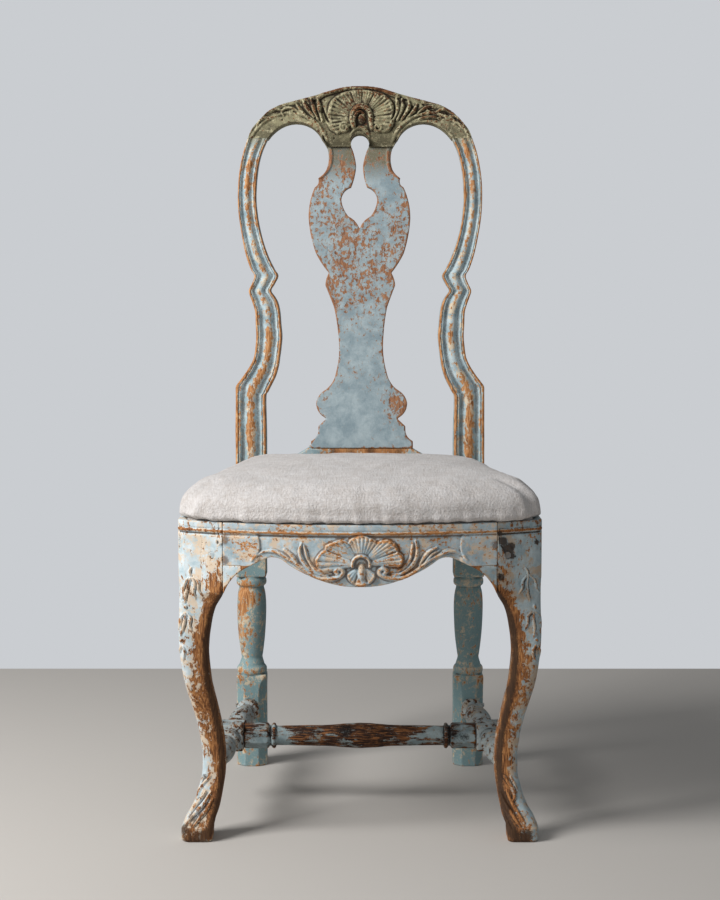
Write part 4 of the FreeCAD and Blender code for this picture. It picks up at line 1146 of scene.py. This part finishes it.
rail = front_rail()
points = points_of(rail)
places = photo_places(points)
heights = rail_relief(places)
sunk = BOW_RADIUS - np.hypot(points[:, 0], points[:, 1] - BOW_CENTRE_Y * MM) / MM
inside = np.maximum(*[raised_ends(places, line, side)
                      for line, side in zip(RAIL_ENDS, (LEFT, RIGHT))])
under = (points[:, 2] / MM < SEAT_HEIGHT - BAND_HEIGHT - 3) & (sunk < FIELD_DEPTH + 0.6)
plain = np.where(under & (heights < 0.5), inside * np.clip(sunk, 0, FIELD_DEPTH), 0)
carve(rail, heights + band_moulding(rail) + plain, (0, -1, 0))
relax(rail, 1)
# The shell's rim and ribs and the rail's foot are rubbed most, and the bead's wood line is also
# painted shade
rim_gap, _ = near_line(places, on_rim(RAIL_HUB, RAIL_RIM), 8)
rubbed_with_painted_light = bead_wear_and_shade(rail) + 0.4 * bump(rim_gap, 0, 1.7)
mark_wear_and_shade(rail, RAIL_PATCHES, 4, rubbed_with_painted_light, RAIL_SOIL)
place(rail, "frame", RAIL_PAINT, "painted_birch", "front_seat_rail")


# ---- front legs

# Petals and leaves: their line, their width and, in millimetres, how far they stand out
LEFT_LEG_CARVING = (
    (((191.5, 567), (189.6, 571), (190.6, 577)), 2.4, 1.6),
    (((188.6, 577.5), (185.6, 582), (183.4, 589), (184, 595), (181.6, 599)), 2.8, 1.9),
    (((190, 578), (188, 586), (185.6, 596), (184.8, 603)), 3.4, 2.0),
    (((191.6, 578), (194.6, 584), (193.6, 592), (195.6, 599)), 3.0, 1.9),
    (((193.4, 577), (198, 582), (198.4, 590), (203, 597)), 2.8, 1.7),
    (((185.4, 605.5), (185.6, 608.5)), 4.0, 2.4),
    (((184.4, 613), (181, 617), (179.6, 625), (179, 631)), 2.8, 1.8),
    (((185.6, 613), (184.6, 621), (183, 628), (181, 636)), 3.4, 2.0),
    (((187, 613), (190.6, 618), (189.6, 625), (192, 631)), 2.8, 1.8),
    (((181.6, 639), (181.2, 642)), 3.6, 2.2),
    (((181.4, 646), (179.2, 652), (180, 660)), 2.8, 1.7),
    (((182.8, 646), (184.4, 652), (183, 661)), 2.6, 1.6),
)
RIGHT_LEG_CARVING = (
    (((524.5, 566.5), (527.4, 571), (528, 576)), 2.4, 1.6),
    (((526.6, 576), (522.6, 581), (522, 588), (518.6, 594)), 2.8, 1.9),
    (((528, 576), (526.8, 585), (527.6, 593), (530, 601)), 3.4, 2.0),
    (((529.6, 575), (534.6, 580), (536, 588), (540.6, 594)), 2.8, 1.9),
    (((534, 604.6), (534.8, 608.6)), 4.0, 2.4),
    (((532.6, 612), (528, 616), (527.6, 624), (524.6, 630)), 2.8, 1.8),
    (((534, 612), (533.6, 621), (534.6, 628), (534, 637)), 3.4, 2.0),
    (((535.6, 612), (540.4, 617), (540.6, 625), (543, 631)), 2.8, 1.8),
    (((536.4, 638), (536.6, 641.6)), 3.6, 2.2),
    (((536, 645), (533.2, 650), (533.6, 656), (536.4, 661)), 2.8, 1.7),
    (((537.6, 645), (539.8, 651), (538.6, 658)), 2.6, 1.6),
)
LEFT_FOOT_CARVING = (
    (((210.5, 776), (204, 783), (199, 790), (197, 797), (199, 803)), 4.4, 2.6),
    (((211, 792), (204, 803), (195, 814), (186, 825)), 4.6, 3.0),
    (((206, 791), (199.5, 801), (191, 811), (183.5, 822)), 4.2, 2.8),
    (((212.5, 799), (207, 809), (200, 818), (193, 827)), 4.2, 2.8),
    (((203.6, 776.6), (200, 783), (196.4, 789)), 3.2, 2.0),
)
RIGHT_FOOT_CARVING = (
    (((504, 776), (509, 783), (513.4, 790), (514.6, 797), (512, 803)), 4.4, 2.6),
    (((500.6, 791), (505, 803), (511.6, 814), (520, 826)), 4.6, 3.0),
    (((506.6, 790), (511, 801), (517.6, 812), (525, 823)), 4.2, 2.8),
    (((499, 799), (501.4, 809), (506, 819), (511, 828)), 4.2, 2.8),
    (((511, 776), (514, 783), (517, 789)), 3.2, 2.0),
)
LEFT_LEG_CUTS = (
    (((179.4, 524.5), (179.6, 536), (179.2, 553)), 1.5),
    (((202.3, 529), (202, 545), (199.6, 566)), 0.9),
    (((219, 520), (218.4, 530), (217.4, 542)), 1.3), (((175.6, 560), (179, 560.6)), 1.1),
    (((217.4, 541), (217.5, 544)), 2.6), (((198, 822.4), (198.3, 823.6)), 2.4),
    (((222.6, 522), (222.9, 545), (222.6, 594)), 1.3),
)
RIGHT_LEG_CUTS = (
    (((499.5, 530), (499.9, 546)), 2.0), (((501.6, 546), (506, 551), (508, 558)), 4.2),
    (((511, 545), (513.4, 549)), 2.6), (((536, 538), (538.4, 545)), 1.8),
    (((500, 574), (500.6, 578)), 3.0), (((521.5, 528), (522, 560)), 0.8),
    (((494.4, 524), (494.6, 592)), 1.4), (((515.8, 556), (515.6, 557)), 1.6),
)


# How much the leg is softened: height, share
LEG_SOFTNESS = ((22, 0), (36, 0.5), (300, 0.5), (320, 1), (362, 1), (376, 0))


def ease_knee(leg):
    """Draws the knee's front back until it runs into the slanted face above."""
    points = points_of(leg)
    inner = FRONT_HALF_WIDTH - LEG_WIDTH
    face = np.interp(np.abs(points[:, 0]) / MM, (inner, FRONT_HALF_WIDTH - LEG_CORNER),
                     (float(bow_y(inner)), FRONT_Y)) * MM
    share = fade(points[:, 2] / MM, *KNEE_EASE)
    share *= share * (3 - 2 * share) * (points[:, 2] < (KNEE_EASE[1] + 6) * MM)
    points[:, 1] += np.maximum(face - points[:, 1], 0) * share
    put_points(leg, points)


def front_leg(node, carving, low_carving, cracks, seed):
    """The construction's leg with a softened knee, and its flowers, leaves and cracks."""
    leg = dense(copy_of(node, node + "_carved"), 1.5)
    ease_knee(leg)
    relax(leg, 90, np.interp(points_of(leg)[:, 2] / MM, *np.array(LEG_SOFTNESS).T))
    leg = dense(leg, 0.85)
    relax(leg, 2)
    points = points_of(leg)
    places = photo_places(points)
    shape = raised(places, [(line, width, 1.3 * height, (0.4, 1, 0.35))
                            for line, width, height in carving + low_carving])
    # A cut along each petal's right side sets it off; the darkening in the cut is painted shade
    under = [([(x + 1.9, y + 0.7) for x, y in line], 1.5) for line, _, _ in carving]
    heights = 0.5 * wobble(points, 45, seed) + cuts(places, cracks, 2.4)
    heights += shape + np.where(shape > 0.3, 0, cuts(places, under, 1.3))
    heights += band_moulding(leg)
    swell(leg, heights * fade(-normals_of(leg)[:, 1], 0.15, 0.45))
    relax(leg, 1)
    return leg


LEFT_LEG_PATCHES = (
    (185, 535, 14, 0.1), (221, 535, 8, 0.3), (212, 600, 20, 0.35), (205, 640, 20, 0.3),
    (218, 588, 10, 0.3), (190, 690, 16, 0.2), (200, 710, 14, 0.35), (208, 740, 12, 0.25),
    (208, 800, 14, 0.1), (190, 840, 16, 1.0), (196, 560, 16, 0.1), (214, 560, 10, 0.3),
)
RIGHT_LEG_PATCHES = (
    (503, 575, 14, 0.3), (506, 560, 10, 0.3), (512, 640, 12, 0.2), (536, 655, 10, 0.3),
    (512, 700, 12, 0.25), (520, 680, 16, 0.2), (508, 760, 12, 0.2), (508, 800, 12, 0.2),
    (516, 840, 18, 1.0), (540, 700, 14, 0.35), (530, 740, 14, 0.25), (508, 610, 12, 0.3),
)
LEFT_LEG_SOIL = (
    (190, 842, 14, 0.3), (203, 838, 7, 0.4), (183, 828, 5, 0.4), (193, 818, 5, 0.25),
    (222, 545, 4, 0.3), (186, 700, 5, 0.15), (205, 776, 4, 0.3), (192, 690, 4, 0.25),
)
RIGHT_LEG_SOIL = (
    (503, 541, 4, 0.7), (508, 550, 4.5, 0.9), (512, 556, 3, 0.6), (499.6, 533, 2.4, 0.6),
    (512, 546, 3, 0.6), (501, 577, 3.4, 0.7), (536.6, 542, 2.8, 0.5), (516, 842, 14, 0.3),
    (528, 836, 7, 0.35), (505, 826, 6, 0.25), (536, 650, 5, 0.15), (506, 690, 5, 0.2),
    (520, 716, 6, 0.2), (507, 806, 5, 0.3),
)
# The inner faces of the legs were wiped bare: the middle of that band, on the left. A narrower
# darkening along it is painted shade of the inner face, with dirt
LEG_INNER = ((223.5, 594), (214.5, 607), (209.5, 622), (206.5, 638), (205.5, 654), (206.5, 670),
             (208.5, 686), (212, 700), (216.5, 720), (220.5, 741), (222, 761), (221, 782),
             (217.5, 802), (212.5, 823), (209, 832))
LEG_RIDGE = ((219, 570), (213, 588), (207, 606), (201, 624), (197, 642), (194, 658), (194, 680),
             (198, 700), (204, 722), (210, 745), (213, 770), (212, 795), (207, 815))


def near_path(obj, side, path, reach):
    """How close each point is to a path over the left leg or its mirror image."""
    places = photo_places(points_of(obj))
    if side == RIGHT:
        places[:, 0] = 2 * PHOTO_MIDDLE - places[:, 0]
    gap, _ = near_line(places, path, 40)
    return bump(gap, 0, reach)


for node, side, paint, form, patches, soiled in (
    ("front_leg_left", LEFT, LEFT_LEG_PAINT_IN_PAINTED_LIGHT,
     (LEFT_LEG_CARVING, LEFT_FOOT_CARVING, LEFT_LEG_CUTS, 5), LEFT_LEG_PATCHES, LEFT_LEG_SOIL),
    ("front_leg_right", RIGHT, RIGHT_LEG_PAINT_IN_PAINTED_SHADE,
     (RIGHT_LEG_CARVING, RIGHT_FOOT_CARVING, RIGHT_LEG_CUTS, 6), RIGHT_LEG_PATCHES, RIGHT_LEG_SOIL),
):
    leg = front_leg(node, *form)
    bare = bead_wear_and_shade(leg) + 1.3 * near_path(leg, side, LEG_INNER, 7)
    bare += 0.45 * near_path(leg, side, LEG_RIDGE, 6)
    # Darkening along the inner band: painted shade on the inner face, with dirt
    mark_wear_and_shade(leg, patches, 5, bare, soiled, 0.42 * near_path(leg, side, LEG_INNER, 4.4))
    place(leg, "frame", paint, "painted_birch", node)


# ---- plainer parts of the frame: softened copies of the construction

# Bare bevels under the brackets and the broken strip of the shoe
PLAIN_PATCHES = [(x, y, 5, 1.5) for x, y in (
    (227, 592), (233, 585), (240, 577), (247, 569), (494, 592), (488, 585), (481, 577), (474, 569),
)] + [(345, 452, 16, 1.3), (375, 452, 16, 1.3), (398, 452, 8, 1.2)]
PLAIN_SOIL = (
    (503.5, 546, 8, 1.2), (508.5, 555, 8, 1.0), (212, 549, 8, 0.2), (333, 451, 4, 0.35),
    (350, 453, 9, 0.28), (371, 451, 5, 0.4), (399, 452, 6, 0.3), (228, 592, 5, 0.2),
    (238, 580, 5, 0.2), (246, 570, 5, 0.2),
)
# Brackets take their leg's paint: the lit copy on the left, the shaded copy on the right
LEG_PAINTS = (("left", LEFT_LEG_PAINT_IN_PAINTED_LIGHT), ("right", RIGHT_LEG_PAINT_IN_PAINTED_SHADE))

# Voxel size, paint or wood, its slot, then the pieces
for voxel, material, slot, nodes in (
    (1.2, POST_PAINT, "painted_birch", ("splat_shoe",)),
    (1.6, RAW_BIRCH, "worn_birch", ("rear_seat_rail",)),
    (1.5, SIDE_PAINT, "painted_birch", ("side_seat_rail_left", "side_seat_rail_right")),
    *[(0.9, paint, "painted_birch", (f"{rail}_knee_bracket_{side}",))
      for rail in ("front", "side") for side, paint in LEG_PAINTS],
    (1.2, OLD_PINE, "bare_pine", ("front_corner_block_left", "front_corner_block_right",
                                  "rear_corner_block_left", "rear_corner_block_right")),
    (1.6, OLD_PINE, "bare_pine", ("slip_front_member", "slip_rear_member",
                                  "slip_side_member_left", "slip_side_member_right")),
    (0.5, LEFT_LEG_PAINT_IN_PAINTED_LIGHT, "painted_birch", ("seat_frame_pegs",)),
    (0.4, CREST_PAINT, "painted_birch", ("crest_pegs",)),
    (0.4, SIDE_STRETCHER_PAINT, "worn_birch", ("stretcher_pegs",)),
):
    for node in nodes:
        piece = dense(copy_of(node, node + "_worn"), voxel)
        relax(piece, 3)
        swell(piece, 0.25 * wobble(points_of(piece), 40, len(node)))
        mark_wear_and_shade(piece, PLAIN_PATCHES, soiled=PLAIN_SOIL)
        place(piece, "slip_seat" if node.startswith("slip_") else "frame", material, slot, node)


# ---- stretchers

SIDE_FRONT_SHARES = (
    (0.0, 0.55), (0.08, 0.60), (0.105, 0.62), (0.115, 0.82), (0.135, 0.92), (0.165, 0.92),
    (0.185, 0.80), (0.20, 0.60), (0.30, 0.78), (0.45, 1.0), (0.60, 1.04), (0.72, 0.90),
    (0.785, 0.70), (0.80, 0.70), (0.815, 0.90), (0.84, 1.0), (0.88, 1.0), (0.91, 0.88), (1.0, 0.84),
)
SIDE_REAR_SHARES = (
    (0.0, 0.84), (0.06, 0.90), (0.085, 1.0), (0.125, 1.0), (0.15, 0.80), (0.165, 0.72),
    (0.23, 0.86), (0.32, 1.0), (0.45, 1.05), (0.60, 0.94), (0.73, 0.74), (0.765, 0.72),
    (0.785, 0.92), (0.805, 1.0), (0.835, 1.0), (0.86, 0.84), (0.88, 0.74), (1.0, 0.70),
)
CROSS_TURNING_SHARES = (
    (0.105, 0.90), (0.110, 0.80), (0.1165, 0.80), (0.1195, 0.92), (0.124, 1.0), (0.131, 1.0),
    (0.1355, 0.90), (0.1385, 0.77), (0.18, 0.78), (0.25, 0.80), (0.36, 0.83), (0.43, 0.94),
    (0.5, 1.0),
)


def along(rings, start, end):
    """Rings that were turned about Z laid between two places."""
    start, end = Vector(start), Vector(end)
    turn = (end - start).normalized().to_track_quat("Z", "Y").to_matrix()
    return rings @ np.array(turn).T + np.array(start)


def stretcher_place(y):
    start = FRONT_Y + LEG_WIDTH / 2
    share = (y - start) / (POST_REACH - start)
    return STRETCHER_FRONT_X + (STRETCHER_REAR_X - STRETCHER_FRONT_X) * share


def side_stretcher(side, name):
    middle = FRONT_Y + CROSS_SETBACK
    ends = [FRONT_Y + LEG_WIDTH * 2 / 3, middle - STRETCHER_BLOCK / 2, middle + STRETCHER_BLOCK / 2,
            POST_REACH]
    stops = [Vector((side * stretcher_place(y), y, STRETCHER_HEIGHT)) for y in ends]
    parts = []
    for shares, start, end in ((SIDE_FRONT_SHARES, stops[0], stops[1]),
                               (SIDE_REAR_SHARES, stops[2], stops[3])):
        rings = lathe_rings(shares, (end - start).length, STRETCHER_RADIUS)
        parts.append(loft("turning", along(rings, start, end)))
    half = STRETCHER_BLOCK / 2
    rings = np.array(soft_block((0, 0), half, half, 0, (stops[2] - stops[1]).length, 1.8))
    parts.append(loft("block", along(rings, stops[1], stops[2])))
    return dense(joined(name, *parts), 1.0)


def cross_stretcher(name):
    y = FRONT_Y + CROSS_SETBACK
    half = stretcher_place(y) - STRETCHER_BLOCK / 2
    parts = []
    for side in (LEFT, RIGHT):
        start = Vector((side * half, y, STRETCHER_HEIGHT))
        end = Vector((0, y, STRETCHER_HEIGHT))
        rings = lathe_rings(CROSS_TURNING_SHARES, 2 * half, CROSS_RADIUS)
        parts.append(loft("turning", along(rings, start, end)))
        length = CROSS_TURNING_SHARES[0][0] * 2 * half
        radius = CROSS_RADIUS * 0.96
        cut = radius * (2 - math.sqrt(2))
        rows = ((0, 1), (length - 2, 1), (length, 0.93))
        rings = [octagon_ring((0, 0), radius * scale, cut * scale, z) for z, scale in rows]
        parts.append(loft("end", along(np.array(rings), start, end)))
    return dense(joined(name, *parts), 0.9)


STRETCHER_PATCHES = (
    (260, 742, 14, -0.7), (284, 746, 9, -0.8), (436, 730, 8, -0.9), (470, 740, 12, -0.7),
    (361, 735, 60, 0.3), (420, 744, 12, -0.5), (345, 746, 14, -0.4), (278, 728, 6, -0.6),
)
STRETCHER_SOIL = (
    (305, 731, 12, 0.25), (345, 729, 14, 0.32), (372, 733, 9, 0.22), (400, 731, 8, 0.2),
    (255, 736, 8, 0.25), (270, 733, 6, 0.25), (452, 734, 9, 0.3), (466, 737, 6, 0.25),
    (330, 742, 6, 0.15), (385, 743, 6, 0.15),
)
for node, piece, material in (
    ("side_stretcher_left", side_stretcher(LEFT, "side_stretcher_left_turned"),
     SIDE_STRETCHER_PAINT),
    ("side_stretcher_right", side_stretcher(RIGHT, "side_stretcher_right_turned"),
     SIDE_STRETCHER_PAINT),
    ("cross_stretcher", cross_stretcher("cross_stretcher_turned"), STRETCHER_PAINT),
):
    relax(piece, 2)
    points = points_of(piece)
    swell(piece, 0.3 * wobble(points, 30, 11) + 0.12 * wobble(points, 9, 12))
    mark_wear_and_shade(piece, STRETCHER_PATCHES, soiled=STRETCHER_SOIL)
    place(piece, "frame", material, "worn_birch", node)


# ---- slip seat

# Share of the plan's size, then of the pad's rise over its wooden frame
PAD_SHARES = (
    (0.99, -0.128), (1.03, -0.128), (1.055, -0.105), (1.070, -0.02), (1.078, 0.12), (1.080, 0.26),
    (1.068, 0.42), (1.044, 0.55), (1.0, 0.655), (0.95, 0.72), (0.87, 0.78), (0.77, 0.835),
    (0.60, 0.915), (0.38, 0.985), (0.15, 1.015), (0.05, 1.015),
)
PAD_CORNER = 26
PAD_INSET = 17
PAD_PUFF = 5
PAD_CLEARANCE = 3
CLOTH_FRAMES = 20
REAR_BACK_Y = POST_REACH + (POST_DEPTH + REAR_RAIL_THICKNESS) / 2 - SHOE_THICKNESS - LIP_WIDTH
POST_INNER_X = BACK_HALF_WIDTH - POST_WIDTH


def pad_plan():
    side = FRONT_HALF_WIDTH - PAD_INSET
    rear = BACK_HALF_WIDTH - PAD_INSET
    back = REAR_BACK_Y - 6
    near = float(bow_y(side, PAD_INSET))
    half = [(x, float(bow_y(x, PAD_INSET))) for x in np.linspace(0, side - PAD_CORNER, 12)]
    for turn in (20, 45, 70):
        angle = math.radians(turn)
        half.append((side - PAD_CORNER * (1 - math.sin(angle)),
                     near + 4 + PAD_CORNER * (1 - math.cos(angle))))
    leg_back = FRONT_Y + LEG_WIDTH
    for share in np.linspace(0.12, 0.88, 9):
        y = near + PAD_CORNER + (back - PAD_CORNER - near - PAD_CORNER) * share
        x = side - (side - rear) * max(0, (y - leg_back) / (POST_REACH - leg_back))
        half.append((x, y))
    for turn in (20, 45, 70):
        angle = math.radians(turn)
        half.append((rear - PAD_CORNER * (1 - math.cos(angle)),
                     back - PAD_CORNER * (1 - math.sin(angle))))
    half += [(x, back) for x in np.linspace(rear - PAD_CORNER, 0, 9)]
    return half + [(-x, y) for x, y in reversed(half[1:-1])]


def pad_form():
    base = SEAT_HEIGHT - REBATE_DEPTH + 2 * CLOTH_THICKNESS + SLIP_THICKNESS
    rise = SEAT_HEIGHT + PAD_RISE - base
    middle = (FRONT_Y + POST_REACH) / 2
    rings = []
    for scale, share in PAD_SHARES:
        z = base + share * rise
        rings.append([(x * scale, middle + (y - middle) * scale, z) for x, y in pad_plan()])
    return loft("pad", rings)


def simulate(obj, cap):
    """Inflates the pad a little as cloth, then keeps each point within the cap."""
    start = points_of(obj)
    cloth = obj.modifiers.new("cloth", "CLOTH")
    settings = cloth.settings
    for key, value in (
        ("quality", 5), ("mass", 0.3), ("tension_stiffness", 18), ("compression_stiffness", 18),
        ("bending_stiffness", 0.6), ("use_pressure", True), ("uniform_pressure_force", 4),
    ):
        setattr(settings, key, value)
    settings.effector_weights.gravity = 0
    pins = obj.vertex_groups.new(name="pins")
    foot = start[:, 2] < start[:, 2].min() + 6 * MM
    pins.add(np.flatnonzero(foot).tolist(), 1.0, "REPLACE")
    settings.vertex_group_mass = "pins"
    scene = bpy.context.scene
    for number in range(1, CLOTH_FRAMES + 1):
        scene.frame_set(number)
    evaluated = obj.evaluated_get(bpy.context.evaluated_depsgraph_get())
    swollen = np.empty(len(start) * 3)
    evaluated.data.vertices.foreach_get("co", swollen)
    swollen = swollen.reshape(-1, 3)
    obj.modifiers.clear()
    scene.frame_set(1)
    move = swollen - start
    length = np.linalg.norm(move, axis=1)
    scale = np.where(length > cap * MM, cap * MM / np.maximum(length, 1e-9), 1)
    put_points(obj, start + move * scale[:, None])


def keep_size(obj, low, high):
    """Stretches the pad evenly until it fills the box it was drawn to."""
    points = points_of(obj)
    least, most = points.min(axis=0), points.max(axis=0)
    put_points(obj, low + (points - least) * (high - low) / (most - least))


def cushion(name):
    pad = dense(pad_form(), 4)
    low, high = points_of(pad).min(axis=0), points_of(pad).max(axis=0)
    relax(pad, 2)
    simulate(pad, PAD_PUFF)
    relax(pad, 2)
    keep_size(pad, low, high)
    pad = with_modifier(pad, "SUBSURF", levels=1)
    points = points_of(pad)
    turn = np.arctan2(points[:, 1], points[:, 0])
    base = (SEAT_HEIGHT - REBATE_DEPTH + SLIP_THICKNESS) * MM
    low = fade(points[:, 2], base + 26 * MM, base)
    pucker = (np.sin(turn * 47) + 0.6 * np.sin(turn * 83 + 1) + 0.5 * np.sin(turn * 131 + 2))
    lumps = 1.6 * wobble(points, 85, 31) + 0.45 * wobble(points, 26, 32)
    swell(pad, lumps + 0.55 * pucker * low ** 2)
    keep_clear(pad)
    pad.name = name
    return pad


def keep_clear(pad):
    """Holds the pad off the posts and the splat's shoe."""
    points = points_of(pad)
    edge = (POST_INNER_X - PAD_CLEARANCE) * MM
    front = (POST_REACH - PAD_CLEARANCE) * MM
    corner = (np.abs(points[:, 0]) > edge) & (points[:, 1] > front)
    to_side = np.abs(points[:, 0]) - edge
    to_front = points[:, 1] - front
    sideways = corner & (to_side < to_front)
    points[:, 0] = np.where(sideways, np.sign(points[:, 0]) * edge, points[:, 0])
    points[:, 1] = np.where(corner & ~sideways, front, points[:, 1])
    points[:, 1] = np.minimum(points[:, 1], REAR_BACK_Y * MM)
    put_points(pad, points)


def skirt(name):
    """Linen drawn down round the slip frame and turned under it."""
    inset = LIP_WIDTH + SLIP_GAP
    low = SEAT_HEIGHT - REBATE_DEPTH
    high = low + 2 * CLOTH_THICKNESS + SLIP_THICKNESS
    rows = ((PAD_INSET + 6 - inset, high), (1.5, high), (0, high - 2), (0, low + 1), (1.5, low),
            (CLOTH_RETURN - 6, low), (CLOTH_RETURN, low))
    rings = []
    for index, (draw, z) in enumerate(rows):
        ring = []
        for x, y in slip_plan(inset + draw - CLOTH_THICKNESS):
            ragged = 2.5 * math.sin(x * 0.31 + y * 0.17) if index == len(rows) - 1 else 0
            ring.append((x, y + ragged, z))
        rings.append(ring)
    verts = np.array(rings, dtype=float).reshape(-1, 3) * MM
    obj = new_object(name, verts, band_faces(len(rings), len(rings[0])))
    outward(obj)
    return with_modifier(obj, "SOLIDIFY", thickness=0.9 * MM, offset=-1.0)


def slip_plan(inset):
    side = FRONT_HALF_WIDTH - inset
    rear = BACK_HALF_WIDTH - inset
    draw = max(0, inset - LIP_WIDTH - SLIP_GAP)
    far = POST_REACH - SLIP_GAP - draw
    tongue = POST_INNER_X - SLIP_GAP - draw
    back = REAR_BACK_Y + 8 - draw
    half = [(x, float(bow_y(x, inset))) for x in np.linspace(0, side, 24)]
    leg_back = FRONT_Y + LEG_WIDTH
    half += [(side, y) for y in np.linspace(half[-1][1] + 12, leg_back, 4)]
    half += [(side + (rear - side) * share, leg_back + (far - leg_back) * share)
             for share in np.linspace(0.06, 1, 18)]
    half += [(x, far) for x in np.linspace(rear - 6, tongue, 4)]
    half += [(tongue, y) for y in np.linspace(far + 4, back, 3)]
    half += [(x, back) for x in np.linspace(tongue - 8, 0, 16)]
    return half + [(-x, y) for x, y in reversed(half[1:-1])]


seat = joined("seat_cover_linen", cushion("pad_top"), skirt("skirt"))
place(seat, "slip_seat", LINEN, "linen", "seat_cover", "seat_stuffing")


def woven_sheet(node, name, material, voxel):
    """Cloth or webbing strained flat over what lies below it, at the size it was cut to."""
    piece = dense(copy_of(node, name), voxel)
    relax(piece, 1)
    place(piece, "slip_seat", material, "jute", node)


woven_sheet("webbing_crosswise", "webbing_crosswise_jute", JUTE, 1.4)
woven_sheet("webbing_lengthwise", "webbing_lengthwise_jute", JUTE, 1.4)
woven_sheet("seat_hessian", "seat_hessian_cloth", HESSIAN, 0.9)

tacks = dense(copy_of("cover_tacks", "cover_tacks_forged"), 0.3)
place(tacks, "slip_seat", IRON, "tack_iron", "cover_tacks")


# ---- floor, background, light and camera

def pale_floor():
    """A plain matt floor that ends behind the chair."""
    material, tree = start_material("pale_floor")
    surface(tree, linear("#C2BDB7"), {"Roughness": 0.9, "Specular IOR Level": 0.1})
    wide, far = 4, 0.95
    corners = [(-wide, -wide, 0), (wide, -wide, 0), (wide, far, 0), (-wide, far, 0)]
    floor = new_object("floor", corners, [(0, 1, 2, 3)])
    floor.data.materials.append(material)


pale_floor()


def lamp(name, spot, aim, size, power):
    data = bpy.data.lights.new(name, "AREA")
    data.shape = "SQUARE"
    data.size = size
    data.energy = power
    obj = bpy.data.objects.new(name, data)
    obj.location = spot
    obj.rotation_euler = (Vector(aim) - Vector(spot)).to_track_quat("-Z", "Y").to_euler()
    bpy.context.scene.collection.objects.link(obj)


lamp("window_light", (-1.85, -1.05, 1.85), (0, -0.1, 0.5), 1.1, 74)
lamp("room_fill", (-0.5, -3.2, 1.6), (0, 0, 0.6), 2.0, 10)

# The background seen is pale, while its light on the chair stays low
world = bpy.data.worlds.new("pale_room")
world.use_nodes = True
tree = world.node_tree
tree.nodes.clear()
glow = add(tree, "ShaderNodeBackground", {"Color": linear("#E2E6EA"), "Strength": 0.3})
seen = add(tree, "ShaderNodeBackground", {"Color": linear("#CACDD1"), "Strength": 1.0})
ray = add(tree, "ShaderNodeLightPath").outputs["Is Camera Ray"]
both = add(tree, "ShaderNodeMixShader", {0: ray, 1: glow.outputs[0], 2: seen.outputs[0]})
add(tree, "ShaderNodeOutputWorld", {"Surface": both.outputs[0]})
scene = bpy.context.scene
scene.world = world
scene.view_settings.view_transform = "Standard"

data = bpy.data.cameras.new("camera")
data.sensor_fit = "AUTO"
data.sensor_width = SENSOR_WIDTH
data.lens = PHOTO_FOCAL * SENSOR_WIDTH / PHOTO_HEIGHT
camera = bpy.data.objects.new("camera", data)
camera.location = CAMERA_PLACE
camera.rotation_euler = (math.pi / 2 - CAMERA_DROP, 0, 0)
scene.collection.objects.link(camera)
scene.camera = camera
